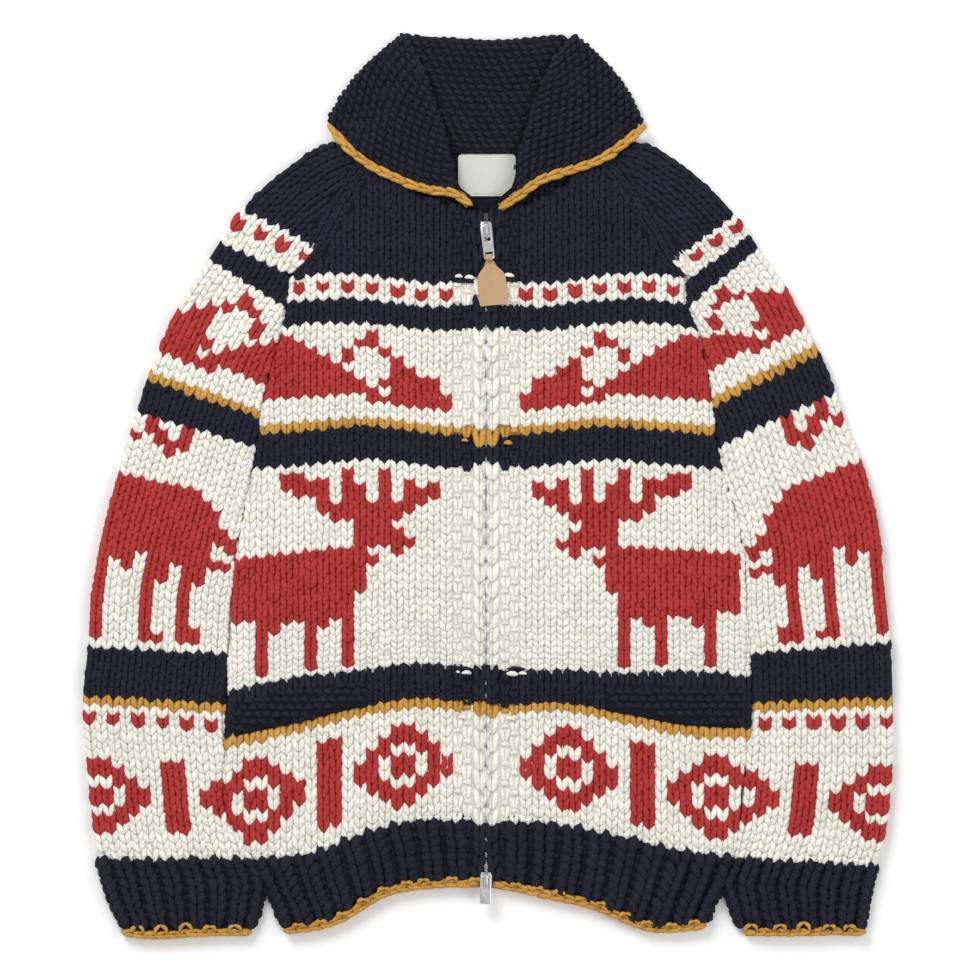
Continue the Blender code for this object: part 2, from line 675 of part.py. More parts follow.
def collar_stations(side):
    """A collar half's front stations, from the centre front out to its side: each is its points
    in plan, its outer heights and its inner heights."""
    line = np.array([0, 0.03, 0.09, 0.2, 0.4, 0.6, 0.8, 0.95, 1.0])
    mirror = 1 if side == "left" else -1
    stations = []
    shares = np.linspace(0, 0.93, 12)
    rolls = along(ROLL[side], shares)
    edges = along(COLLAR_EDGE[side], shares)
    ahead = along(COLLAR_EDGE[side], np.clip(shares + 0.02, 0, 1)) - along(
        COLLAR_EDGE[side], np.clip(shares - 0.02, 0, 1)
    )
    ahead = ahead / np.linalg.norm(ahead, axis=1)[:, None]
    inside = np.stack([ahead[:, 1], -ahead[:, 0]], axis=1) * mirror
    edges = edges + inside * (BIND_OFF / 2 + GAP + 0.4)
    for share, roll, edge in zip(shares, rolls, edges):
        bow = mirror * COLLAR_SIDE_BOW * step((share - 0.3) / 0.7)
        plan = collar_line(roll, edge, bow, line)
        length = np.linalg.norm(edge - roll)
        thick = (2 * WALL - WALL * line**0.7) * (1 - 0.35 * step((share - 0.8) / 0.2))
        soft = np.maximum(rounded(line * length, WALL), 0.3)
        soft = soft * np.maximum(rounded((1 - line) * length, 2), 0.5)
        base = under_lobe(plan[:, 0], plan[:, 1]) + GAP + 0.35
        middle = base + thick / 2
        stations.append((plan, middle + thick / 2 * soft, middle - thick / 2 * soft))
    return line, stations


def side_stations(side, line):
    """The stations that carry the collar round its side fold, from above to below."""
    mirror = 1 if side == "left" else -1
    roll, edge = (np.array(place, float) for place in COLLAR_SIDE[side])
    inside = np.array([edge[1] - roll[1], roll[0] - edge[0]]) * -mirror
    inside = inside / np.linalg.norm(inside)
    stations = []
    ends = np.maximum(rounded(line * 100, WALL), 0.35) * np.maximum(rounded((1 - line) * 100, 2), 0.6)
    for angle, hollow in ((88, 5.0), (50, 1.5), (0, 0.0), (-50, 1.5), (-88, 5.0)):
        turn = math.radians(angle)
        fold = collar_line(roll, edge, mirror * COLLAR_SIDE_BOW, line)
        outer = fold + inside * WALL * (1 - math.cos(turn))
        inner = fold + inside * (WALL + hollow)
        inner[0] = outer[0] + inside
        inner[-1] = outer[-1] + inside
        outer_heights = MIDDLE + MIDDLE * math.sin(turn) * ends
        inner_heights = MIDDLE + GAP / 2 * np.sign(round(math.sin(turn), 3)) * np.ones(len(line))
        stations.append((outer, outer_heights, inner, inner_heights))
    return stations


def back_stations(line):
    """The stations behind the neck, from the left side to the right one."""
    shares = np.linspace(0, 1, 11)
    tops = along(COLLAR_TOP, shares)
    falls = along(FALL_EDGE, shares)
    stands = along(NECK_STAND, shares)
    stations = []
    for top, fall, stand in zip(tops, falls, stands):
        length = np.linalg.norm(fall - top)
        outer = top + (fall - top) * line[:, None]
        inner = top + (stand - top) * line[:, None]
        soft = np.maximum(rounded(line * length, WALL), 0.3)
        ceiling = block_top(inner[:, 0], inner[:, 1])
        inner_heights = ceiling / 2 + ceiling / 2 * soft
        outer_heights = ceiling / 2 - ceiling / 2 * soft
        stations.append((outer, outer_heights, inner, inner_heights))
    return stations


def make_collar():
    """The shawl collar: one ring of sections from the left centre front round behind the neck to
    the right. Its fall lies on the fronts, turns under at each side and lies behind the neck."""
    line, left = collar_stations("left")
    line, right = collar_stations("right")
    rings = [(plan, upper, plan, lower) for plan, upper, lower in left]
    rings += side_stations("left", line)
    rings += back_stations(line)
    rings += side_stations("right", line)[::-1]
    rings += [(plan, upper, plan, lower) for plan, upper, lower in right][::-1]
    bm = bmesh.new()
    loops = []
    for outer, outer_heights, inner, inner_heights in rings:
        loop = [bm.verts.new((x, y, z)) for (x, y), z in zip(outer, outer_heights)]
        end = (outer[-1][0], outer[-1][1], (outer_heights[-1] + inner_heights[-1]) / 2)
        if np.linalg.norm(outer[-1] - inner[-1]) > 3:
            end = (outer[-1][0], outer[-1][1], WALL + 0.25)
        loop.append(bm.verts.new(end))
        loop += [bm.verts.new((x, y, z)) for (x, y), z in list(zip(inner, inner_heights))[::-1]]
        loops.append(loop)
    for first, second in zip(loops, loops[1:]):
        for k in range(len(first)):
            after = (k + 1) % len(first)
            bm.faces.new((first[k], first[after], second[after], second[k]))
    bm.faces.new(loops[0][::-1])
    bm.faces.new(loops[-1])
    bmesh.ops.triangulate(bm, faces=bm.faces)
    face_out(bm)
    return link("collar", bm, "navy wool", smooth_angle=60)


def make_collar_edging():
    """The collar's mustard bind-off edge: on each front, and behind the neck."""
    for side in ("left", "right"):
        places = along(COLLAR_EDGE[side], np.linspace(0, 0.955, 22))
        base = under_lobe(places[:, 0], places[:, 1]) + GAP + 0.4
        path = np.concatenate([places, base[:, None]], axis=1)
        swept("collar_edging_" + side, "mustard wool", path, oval(BIND_OFF, WALL))
    places = along(FALL_EDGE, np.linspace(0.06, 0.94, 22))
    places[:, 1] -= BIND_OFF / 2 + GAP
    path = np.concatenate([places, np.zeros((len(places), 1))], axis=1)
    swept("collar_edging_back", "mustard wool", path, oval(BIND_OFF - 1.0, WALL - 0.3))


def box(name, finish, low, high):
    """A plain block between two corners."""
    bm = bmesh.new()
    bmesh.ops.create_cube(bm, size=1.0)
    low, high = np.array(low, float), np.array(high, float)
    bmesh.ops.scale(bm, vec=tuple(high - low), verts=bm.verts)
    bmesh.ops.translate(bm, vec=tuple((high + low) / 2), verts=bm.verts)
    return link(name, bm, finish)


def extruded(name, finish, outline, depth, flat, start=0.0):
    """An outline extruded by depth: from height start up where flat is xy, and to both sides of
    the plane where it is yz."""
    bm = bmesh.new()
    if flat == "xy":
        face = bm.faces.new([bm.verts.new((a, b, start)) for a, b in outline])
        move = (0, 0, depth)
    else:
        face = bm.faces.new([bm.verts.new((-depth / 2, a, b)) for a, b in outline])
        move = (depth, 0, 0)
    grown = bmesh.ops.extrude_face_region(bm, geom=[face])
    points = [item for item in grown["geom"] if isinstance(item, bmesh.types.BMVert)]
    bmesh.ops.translate(bm, vec=move, verts=points)
    face_out(bm)
    return link(name, bm, finish, smooth_angle=35)


def make_zip_tapes():
    """The zip's two tapes with their rows of teeth, between the fronts."""
    for side, low, high in (("left", -2.7, -0.15), ("right", 0.15, 2.7)):
        corner = (ZIP_X + low, ZIP_END, LAYER)
        box("zip_tape_" + side, "zip tape", corner, (ZIP_X + high, ZIP_TOP, LAYER + TEETH))


def place(obj, x, y, z, lean):
    """Puts a piece at its crossbar, leaning by this many degrees in plan."""
    obj.location = (x * MM, y * MM, z * MM)
    obj.rotation_euler = (0, 0, math.radians(lean))


def make_slider(which):
    """A slider: a shield-shaped plate over the teeth with a keel and a bridge for the tab."""
    bar_y = PULLS[which]["bar_y"]
    front = bar_y + 4.2
    outline = (
        (-4.2, 0), (-5.2, -3), (-5.0, -8), (-3.6, -14), (3.6, -14), (5.0, -8), (5.2, -3), (4.2, 0),
    )
    plate_z = GARMENT + GAP
    plate = extruded("slider_" + which, "zip metal", outline, SLIDER_TOP - plate_z, "xy")
    place(plate, ZIP_X, front, plate_z, 0)
    tape_top = LAYER + TEETH
    keel_foot = tape_top + GAP
    keel = (
        (front - 12.5, keel_foot), (front - 1.5, keel_foot), (front - 1.5, plate_z + 1),
        (front - 12.5, plate_z + 1),
    )
    keel = extruded("keel_of_slider_" + which, "zip metal", keel, 3.4, "yz")
    keel.location.x = ZIP_X * MM
    join(plate, keel)
    foot = SLIDER_TOP - 1.0
    roof = PULL_Z + 1.7
    bridge = (
        (front - 13, foot), (front - 10.6, foot), (front - 10.6, roof - 0.9), (front - 9.6, roof),
        (front - 3.4, roof), (front - 2.5, roof - 0.9), (front - 2.5, foot), (front - 0.4, foot),
        (front - 0.4, roof - 0.4), (front - 2.2, roof + 1.5), (front - 10.6, roof + 1.5),
        (front - 13, roof - 0.4),
    )
    bridge = extruded("bridge_of_slider_" + which, "zip metal", bridge, BAIL_WIDTH, "yz")
    bridge.location.x = ZIP_X * MM
    join(plate, bridge)


def make_tab(which):
    """A metal tab: a plate with a long slot round the bridge, its end bar turning under it."""
    pull = PULLS[which]
    half = TAB_WIDTH / 2
    end = pull["reach"] + 1.4
    outline = (
        (-half, -1.0), (-half + 1.0, 0.95), (half - 1.0, 0.95), (half, -1.0), (half - 0.5, -end + 1.2),
        (half - 1.4, -end), (-half + 1.4, -end), (-half + 0.5, -end + 1.2),
    )
    name = "pull_tab_" + which
    tab = extruded(name, "zip metal", outline, TAB_THICK, "xy", start=-TAB_THICK / 2)
    slot_half = TAB_SLOT / 2
    slot = box("bridge_slot_of_" + name, "zip metal", (-slot_half, -13.5, -4), (slot_half, -0.95, 4))
    cut(tab, slot)
    slot.parent = tab
    if which == "top":
        low = (-STRAP_SLOT / 2, -pull["reach"] + 1.2, -4)
        high = (STRAP_SLOT / 2, -pull["reach"] + 4.9, 4)
        strap = box("strap_slot_of_" + name, "zip metal", low, high)
        cut(tab, strap)
        strap.parent = tab
    place(tab, ZIP_X, pull["bar_y"], PULL_Z, pull["lean"])


def make_leather():
    """The leather pull: a loop round the tab's lower bar, a neck, shoulders and a broad end."""
    pull = PULLS["top"]
    lean = math.radians(pull["lean"])
    half = LEATHER_WIDTH / 2
    drop = LEATHER_LENGTH
    outline = (
        (-3.0, -1.0), (-3.0, -2.3), (-4.2, -4.5), (-5.2, -7.5), (-9.0, -11.5), (-11.8, -15.0),
        (-12.8, -19.0), (-half, -drop + 2), (-half + 1.0, -drop), (half - 1.0, -drop),
        (half, -drop + 2), (12.8, -19.0), (11.8, -15.0), (9.0, -11.5), (5.2, -7.5), (4.2, -4.5),
        (3.0, -2.3), (3.0, -1.0),
    )
    blade = extruded("pull_leather", "tan leather", outline, LEATHER_THICK, "xy", start=-LOOP_OUTER)
    angles = [k * math.pi / 8 for k in range(16)]
    circle = [(math.cos(a) * LOOP_OUTER, math.sin(a) * LOOP_OUTER) for a in angles]
    loop = extruded("loop_of_pull_leather", "tan leather", circle, 6.0, "yz")
    hole = [(math.cos(a) * LOOP_INNER, math.sin(a) * LOOP_INNER) for a in angles]
    bore = extruded("bore_of_pull_leather", "tan leather", hole, 9.0, "yz")
    join(blade, loop)
    cut(blade, bore)
    loop.parent = blade
    bore.parent = blade
    x = ZIP_X + math.sin(lean) * pull["reach"]
    y = pull["bar_y"] - math.cos(lean) * pull["reach"]
    place(blade, x, y, PULL_Z, pull["lean"])


def make_label():
    """The woven label on the inside of the back, below the collar seam."""
    low = (LABEL["left"], LABEL["foot"], LAYER)
    box("neck_label", "label cloth", low, (LABEL["right"], LABEL["top"], LAYER + LABEL["thick"]))


def main():
    clear_scene()
    make_back()
    for side in ("left", "right"):
        make_front(side)
        make_welt(side)
        make_sleeve(side)
        make_cuff_edging(side)
    make_hem_edging()
    make_collar()
    make_collar_edging()
    make_zip_tapes()
    for which in ("top", "bottom"):
        make_slider(which)
        make_tab(which)
    make_leather()
    make_label()


main()
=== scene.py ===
"""A hand-knit zip cardigan laid flat: its stitches, edges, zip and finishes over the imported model.

Lengths are in millimetres until a mesh is made. X runs across, Y from hem to collar, Z up. Each
knitted panel is a thin shell on its solid's form, under yarn made stitch by stitch.
"""

import math

import bmesh
import bpy
import numpy as np
from bpy.props import FloatProperty, FloatVectorProperty, PointerProperty
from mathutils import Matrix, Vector
from mathutils.bvhtree import BVHTree
from mathutils.kdtree import KDTree


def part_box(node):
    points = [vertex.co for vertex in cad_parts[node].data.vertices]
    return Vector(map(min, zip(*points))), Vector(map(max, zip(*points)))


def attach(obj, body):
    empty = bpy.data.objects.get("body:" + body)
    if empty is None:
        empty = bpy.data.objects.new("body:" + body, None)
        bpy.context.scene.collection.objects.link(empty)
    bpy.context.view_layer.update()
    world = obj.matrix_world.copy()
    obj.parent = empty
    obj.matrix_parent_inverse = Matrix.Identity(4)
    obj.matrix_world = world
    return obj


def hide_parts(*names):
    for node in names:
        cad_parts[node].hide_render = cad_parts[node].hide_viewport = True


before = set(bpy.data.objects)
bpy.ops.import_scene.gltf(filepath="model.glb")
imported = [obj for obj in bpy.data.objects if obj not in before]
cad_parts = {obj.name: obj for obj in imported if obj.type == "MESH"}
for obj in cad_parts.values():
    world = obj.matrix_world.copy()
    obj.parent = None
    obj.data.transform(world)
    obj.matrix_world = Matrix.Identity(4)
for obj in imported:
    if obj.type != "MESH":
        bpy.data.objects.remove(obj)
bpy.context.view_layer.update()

bl_info = {
    "name": "Hand-knit zip cardigan",
    "version": (1, 0, 0),
    "blender": (4, 5, 0),
    "location": "3D view, sidebar, Cardigan",
    "description": "Knits the stitches, edges and zip of a cardigan over its packed model",
    "category": "Object",
}

MM = 0.001
WALL = 6.0
GAP = 0.3
LAYER = WALL + GAP
GARMENT = 2 * WALL + GAP
FOLD = GARMENT / 2
ZIP_X = -1.8
ZIP_SLOT = 3.0
ZIP_END = -353.0
ZIP_TOP = 246.0
RIB_PITCH = 23.5
CUFF_RIBS = 7
BIND_OFF = 8.0
FLOOR_GAP = 0.1
# Which way each side lies from the zip
HAND = {"left": -1, "right": 1}
# How far across its width each height of a curved row is given
STEPS = np.linspace(0, 1, 5)
# How deep the knit and purl columns of a rib lie, and how wide its knit stitches are
RIB_SINK = 0.9
FURROW_SINK = 3.4
RIB_SPREAD = 1.58

# The band beside the zip: a chain column at its edge, then moss stitch
CHAIN_COLUMN = 10.5
MOSS_COLUMNS = 2
MOSS_WIDTH = 8.4
ZIP_BAND = CHAIN_COLUMN + MOSS_COLUMNS * MOSS_WIDTH

# Outlines of the body, as the solids have them: height, then distance across
RAGLAN = {
    "left": ((311, -94), (289, -111), (250, -135), (209, -160), (189, -178)),
    "right": ((311, 91), (296, 106), (279, 119), (250, 139), (211, 162), (188, 178)),
}
SIDE = {
    "left": (
        (189, -178), (151, -183), (94, -199), (15, -212), (-54, -226), (-143, -233),
        (-236, -237), (-297, -234), (-333, -212), (-358, -201), (-392, -185), (-404, -180),
    ),
    "right": (
        (188, 178), (163, 179), (135, 191), (86, 200), (28, 208), (-48, 229), (-119, 234),
        (-170, 236), (-223, 236), (-252, 231), (-306, 226), (-331, 222), (-353, 213),
        (-384, 199), (-400, 193),
    ),
}

# Heights of a front's named rows at five even steps from its side to the zip
NAMED_ROWS = {
    "left": {
        "hem": (-404, -395, -370, -362, -361),
        "rib_top": (-336, -330, -312, -300, -303),
        "band_foot": (-234, -222, -207, -198, -205),
        "stag_foot": (-183, -171, -165, -158, -165),
        "stag_head": (17, 21, 25, 20, 14),
        "chest": (189, 193, 189, 184, 189),
    },
    "right": {
        "hem": (-399, -401, -382, -370, -361),
        "rib_top": (-333, -327, -313, -303, -303),
        "band_foot": (-226, -223, -211, -201, -208),
        "stag_foot": (-170, -165, -167, -164, -165),
        "stag_head": (17, 21, 25, 20, 14),
        "chest": (188, 193, 189, 184, 189),
    },
}

# Width of the column of stitches beside a raglan seam
SEAM_COLUMN = 8.0

# Heights of a front's neck edge at the same steps, and how far its knitting is seen past it, in
# the gap below the collar's edge
NECK_LINE = (311, 274, 260, 253, 249)
UNDER_COLLAR = 16.0

# Outlines of the sleeves, from cuff to neck: across, height
SLEEVE_OUTER = {
    "left": (
        (-328, -405), (-334, -386), (-344, -359), (-354, -318), (-360, -264), (-365, -192),
        (-360, -143), (-357, -93), (-346, -35), (-331, 19), (-319, 60), (-306, 100),
        (-290, 141), (-268, 181), (-249, 208), (-233, 235), (-210, 262), (-178, 289),
        (-158, 303), (-142, 309), (-124, 308), (-108, 310),
    ),
    "right": (
        (338, -405), (340, -386), (346, -354), (357, -318), (363.6, -264), (364.6, -192),
        (362.6, -143), (357, -93), (352, -35), (338, 19), (321, 60), (308, 100),
        (288, 141), (268, 181), (248, 208), (230, 235), (207, 262), (176, 289),
        (155, 303), (139, 309), (121, 308), (105, 310),
    ),
}
CUFF_END = -358
CUFF_INNER = {
    "left": ((-213, -405), (-207, -386), (-204, -372)),
    "right": ((230, -405), (219, -386), (216, -370)),
}

# How far a cuff's edge dips at five even steps from its outer end
CUFF_LINE = {"left": (0, -3, -1, 0, 0), "right": (0, 1, 0, 0, 0)}

# Heights at which one knitted row of a sleeve meets its inner edge and its outer edge, and how
# many rows lie between it and the one before
SLEEVE_ROWS = {
    "left": (
        {"inner": -396, "outer": -396, "rows": 0}, {"inner": -334, "outer": -335, "rows": 8},
        {"inner": -195, "outer": -187, "rows": 18}, {"inner": -150, "outer": -143, "rows": 6},
        {"inner": 37, "outer": 68, "rows": 26}, {"inner": 63, "outer": 97, "rows": 4},
        {"inner": 162, "outer": 205, "rows": 13}, {"inner": 192, "outer": 221, "rows": 4},
        {"inner": 217, "outer": 251, "rows": 4},
    ),
    "right": (
        {"inner": -396, "outer": -396, "rows": 0}, {"inner": -333, "outer": -341, "rows": 8},
        {"inner": -194, "outer": -189, "rows": 18}, {"inner": -150, "outer": -139, "rows": 6},
        {"inner": 37, "outer": 86, "rows": 26}, {"inner": 73, "outer": 121, "rows": 4},
        {"inner": 163, "outer": 215, "rows": 13}, {"inner": 186, "outer": 227, "rows": 4},
        {"inner": 205, "outer": 245, "rows": 4},
    ),
}
YOKE_ROWS_OF_SLEEVE = 16

# The collar: where it rolls over, its bind-off edge and its side and top folds
ROLL = {
    "left": ((-15, 261), (-26, 270), (-32, 294), (-40, 323), (-49, 351), (-58, 377), (-67, 395)),
    "right": ((12, 261), (22, 270), (26, 294), (34, 323), (42, 348), (52, 371), (64, 393)),
}
COLLAR_EDGE = {
    "left": ((-17, 253), (-25, 261), (-54, 267), (-86, 279), (-104, 288), (-122, 301), (-140, 321)),
    "right": ((11, 251), (25, 260), (46, 275), (68, 283), (100, 294), (119, 306), (138, 322)),
}
COLLAR_SIDE = {"left": ((-75, 408), (-145, 329)), "right": ((77, 407), (139, 330))}
COLLAR_SIDE_BOW = 8.0
COLLAR_TOP = ((-75, 408), (-62, 406), (-32, 404), (3, 402), (38, 404), (56, 406), (77, 407))
NECK_SEAM = (-36, 31)
NECK_SEAM_Y = 303.2
FALL_EDGE = ((-122, 321), (-96, 322), (-52, 315), (-2, 311), (49, 315), (93, 322), (119, 321))

# Charts, from the top row down and from the side seam to the zip: # is red on the cream ground
STAG = (
    "....##...#..#.....",
    "....####.#..#.#.#.",
    ".....###.##.#.###.",
    ".......#.##.#.##..",
    ".......########...",
    "........######....",
    "..........###.....",
    "..........####....",
    "..........#####...",
    "###########..#....",
    "############......",
    "###########.......",
    "###########.......",
    "###########.......",
    "##########........",
    "##########........",
    "..########........",
    "..##..##.#........",
    "..#...#..#........",
    "..#...#..#........",
    "..#...#..#........",
    "..#...#..#........",
    "..#...#..#........",
    "..#...#..#........",
)
MOUNTAIN = (
    "...##......#......",
    "..####....##......",
    "..#####..#..#.....",
    ".#######.#...#....",
    "#########....##...",
    "##########...####.",
    "###########.#####.",
    "############.#####",
    "...........#######",
)

# The stag of a sleeve, from its outer fold inwards
SLEEVE_STAG = (
    ".#..#.......",
    ".##.#.......",
    "#.###.......",
    "...#........",
    "............",
    "............",
    "............",
    "#######.....",
    "########....",
    "#########...",
    "#########...",
    "##########..",
    "###########.",
    "#########.#.",
    "#########...",
    "###.#######.",
    "#.#.##.##...",
    "#...##.##...",
    "#...#..#....",
    "#...#..#....",
    "#...#..#....",
    "#...#..#....",
    "#...#..#....",
    "#...#..##...",
    "#...##.##...",
)
DIAMONDS = (
    "....##....##",
    "...####...##",
    "..##..##..##",
    ".##.##.##.##",
    ".##.##.##.##",
    "..##..##..##",
    "...####...##",
    "....##....##",
)
YARNS = ("navy", "cream", "red", "mustard")

# Strands carried from one colour to the next, which show as short lobes on the zip band:
# distance from its edge to their middle, height, length, thickness and yarn
FLOATS = {
    "left": (
        {"at": 21.6, "height": 189.4, "length": 7.5, "thick": 1.7, "yarn": "cream"},
        {"at": 11.9, "height": 188.4, "length": 9.5, "thick": 2.0, "yarn": "cream"},
        {"at": 16.5, "height": 184.6, "length": 19.0, "thick": 1.8, "yarn": "navy"},
        {"at": 16.1, "height": 41.7, "length": 6.5, "thick": 1.6, "yarn": "mustard"},
        {"at": 14.6, "height": -167.4, "length": 9.5, "thick": 2.0, "yarn": "cream"},
        {"at": 22.3, "height": -166.7, "length": 4.0, "thick": 1.2, "yarn": "cream"},
        {"at": 18.0, "height": -163.4, "length": 17.0, "thick": 1.6, "yarn": "navy"},
        {"at": 18.3, "height": -207.0, "length": 9.0, "thick": 1.8, "yarn": "cream"},
    ),
    "right": (
        {"at": 17.4, "height": 190.2, "length": 10.5, "thick": 1.9, "yarn": "cream"},
        {"at": 18.5, "height": 185.8, "length": 16.0, "thick": 1.8, "yarn": "navy"},
        {"at": 16.7, "height": 39.6, "length": 8.5, "thick": 2.1, "yarn": "mustard"},
        {"at": 20.4, "height": -168.3, "length": 12.0, "thick": 2.4, "yarn": "cream"},
        {"at": 29.9, "height": -167.8, "length": 8.0, "thick": 1.8, "yarn": "cream"},
        {"at": 24.0, "height": -163.8, "length": 18.0, "thick": 1.6, "yarn": "navy"},
        {"at": 18.7, "height": -208.5, "length": 10.0, "thick": 1.8, "yarn": "cream"},
    ),
}

# Heights of the two sliders on the zip
SLIDER_TOP = 228.0
SLIDER_BOTTOM = -356.0
STRAP_STITCH = (1.6, 201.6, 16.1)

# A lobe of yarn: places along it, and its thickness there as a share of its greatest
LOBE_PLACES = (0.14, 0.40, 0.70, 0.90)
LOBE_SHARES = (0.62, 1.0, 0.97, 0.62)
LOBE_SIDES = 6


def settings():
    return bpy.context.scene.cardigan


def smooth(knots, values, at):
    """A smooth curve through values at rising knots, read at these places."""
    knots = np.asarray(knots, float)
    values = np.asarray(values, float)
    slopes = np.gradient(values, knots, axis=0)
    at = np.clip(np.asarray(at, float), knots[0], knots[-1])
    low = np.clip(np.searchsorted(knots, at, side="right") - 1, 0, len(knots) - 2)
    span = knots[low + 1] - knots[low]
    t = (at - knots[low]) / span
    if values.ndim > 1:
        t = t[..., None]
        span = span[..., None]
    rise = values[low + 1] - values[low]
    start = slopes[low] * span
    end = slopes[low + 1] * span
    curve = t**2 * (3 * rise - 2 * start - end) + t**3 * (start + end - 2 * rise)
    return values[low] + t * start + curve


def path_lengths(path):
    """How far along a path each of its points lies."""
    return np.concatenate([[0], np.cumsum(np.linalg.norm(np.diff(path, axis=0), axis=1))])


def along(points, shares):
    """Places at these shares of the way along a smooth curve through the points."""
    points = np.asarray(points, float)
    lengths = path_lengths(points)
    return smooth(lengths, points, np.asarray(shares) * lengths[-1])


def step(value):
    """0 below 0, 1 above 1, and a soft rise between."""
    value = np.clip(value, 0, 1)
    return value * value * (3 - 2 * value)


def unit(vectors):
    return vectors / np.maximum(np.linalg.norm(vectors, axis=-1, keepdims=True), 1e-9)


def side_x(side, y):
    """Where the body's edge lies at this height: along the raglan seam, or down the side."""
    y = np.asarray(y, float)
    raglan = np.array(RAGLAN[side][::-1], float)
    edge = np.array(SIDE[side][::-1], float)
    above = smooth(raglan[:, 0], raglan[:, 1], y)
    below = smooth(edge[:, 0], edge[:, 1], y)
    return np.where(y > raglan[0, 0], above, below)


def zip_edge(side):
    return ZIP_X + (-ZIP_SLOT if side == "left" else ZIP_SLOT)


# Surfaces of the solids


def cad_copy(node):
    """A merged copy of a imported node's mesh, in millimetres."""
    bm = bmesh.new()
    bm.from_mesh(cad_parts[node].data)
    bmesh.ops.scale(bm, vec=(1 / MM, 1 / MM, 1 / MM), verts=bm.verts)
    bmesh.ops.remove_doubles(bm, verts=bm.verts, dist=0.002)
    return bm


def refill_underside(bm):
    """Fills a solid's flat underside anew, with no triangle across the hollow of its outline."""
    low = min(vert.co.z for vert in bm.verts) + GAP / 10
    flat = [face for face in bm.faces if all(vert.co.z < low for vert in face.verts)]
    bmesh.ops.delete(bm, geom=flat, context="FACES")
    rim = [edge for edge in bm.edges if len(edge.link_faces) == 1]
    bmesh.ops.triangle_fill(bm, use_beauty=True, edges=rim, normal=(0, 0, -1))
    bmesh.ops.recalc_face_normals(bm, faces=bm.faces[:])


class Surface:
    """The upper face of some solids, read by height."""

    def __init__(self, *nodes):
        self.trees = []
        for node in nodes:
            bm = cad_copy(node)
            self.trees.append(BVHTree.FromBMesh(bm))
            bm.free()

    def height(self, x, y):
        """The height of the top here, or nan past the edge."""
        best = math.nan
        for tree in self.trees:
            hit = tree.ray_cast(Vector((x, y, 80)), Vector((0, 0, -1)))[0]
            if hit is not None and not hit.z < best:
                best = hit.z
        return best

    def heights(self, places):
        return np.array([self.height(x, y) for x, y in places])

    def with_normals(self, places, reach=4.0):
        """Heights and normals, the normals taken over this reach so that they turn smoothly."""
        z = self.heights(places)
        slopes = []
        for move in ((reach, 0), (0, reach)):
            move = np.array(move)
            ahead = self.heights(places + move)
            behind = self.heights(places - move)
            ahead = np.where(np.isnan(ahead) | (abs(ahead - z) > reach), z, ahead)
            behind = np.where(np.isnan(behind) | (abs(behind - z) > reach), z, behind)
            slopes.append((ahead - behind) / (2 * reach))
        normals = np.stack([-slopes[0], -slopes[1], np.ones(len(z))], axis=1)
        return z, unit(normals)


class Outline:
    """A panel's plan outline: segments that are either a fold, round which the knitting turns
    under, or a seam, where it ends."""

    def __init__(self):
        self.starts, self.ends, self.folds, self.insets = [], [], [], []

    def add(self, points, fold, inset=0.4):
        """Adds a stretch. Knitting stops at this inset from a seam."""
        points = np.asarray(points, float)
        self.starts += list(points[:-1])
        self.ends += list(points[1:])
        self.folds += [fold] * (len(points) - 1)
        self.insets += [inset] * (len(points) - 1)

    def nearest(self, places):
        """For each place: its distance out of the panel, the outward direction, the nearest
        point of the outline, whether that is a fold, and its inset."""
        starts, ends = np.array(self.starts), np.array(self.ends)
        runs = ends - starts
        from_start = places[:, None, :] - starts[None]
        share = (from_start * runs).sum(-1) / np.maximum((runs**2).sum(-1), 1e-9)
        share = np.clip(share, 0, 1)
        near = starts + share[..., None] * runs
        away = np.linalg.norm(places[:, None, :] - near, axis=-1)
        pick = away.argmin(axis=1)
        rows = np.arange(len(places))
        run = unit(runs[pick])
        outward = np.stack([run[:, 1], -run[:, 0]], axis=1)
        near = near[rows, pick]
        distance = ((places - near) * outward).sum(-1)
        distance = np.sign(distance) * away[rows, pick]
        return distance, outward, near, np.array(self.folds)[pick], np.array(self.insets)[pick]


def settle(places, surface, outline, turn_under, fold_inset=0.0, spare=None):
    """Lays flat knitting on a solid, level where there is none above the height spare. Returns
    which places stay, and their points and normals."""
    distance, outward, near, fold, inset = outline.nearest(places)
    radius = FOLD - fold_inset
    arc = distance + radius
    angle = np.clip(arc / radius, 0, math.pi)
    turns = fold & (arc > 0)
    keep = np.where(fold, angle < math.radians(turn_under), distance < -inset)
    inner = near - outward * (radius + fold_inset)
    plan = np.where(turns[:, None], inner, places)
    z, normals = surface.with_normals(plan)
    if spare is not None:
        bare = np.isnan(z) & (plan[:, 1] > spare)
        z = np.where(bare, GARMENT - 0.8, z)
        normals = np.where(bare[:, None], (0.0, 0.0, 1.0), normals)
    keep &= ~np.isnan(z)
    swing = np.sin(angle) * radius
    drop = (1 - np.cos(angle)) * radius
    turned = inner + outward * swing[:, None]
    points = np.concatenate([np.where(turns[:, None], turned, places), z[:, None]], axis=1)
    points[:, 2] -= np.where(turns, drop, 0)
    valley = step(1 + distance / 9)
    points[:, 2] -= np.where(fold, 0, valley)
    outward3 = np.concatenate([outward, np.zeros((len(places), 1))], axis=1)
    up3 = np.array([0, 0, 1.0])
    turned_normals = outward3 * np.sin(angle)[:, None] + up3 * np.cos(angle)[:, None]
    normals = np.where(turns[:, None], turned_normals, normals)
    return keep, points, unit(normals)


# Yarn


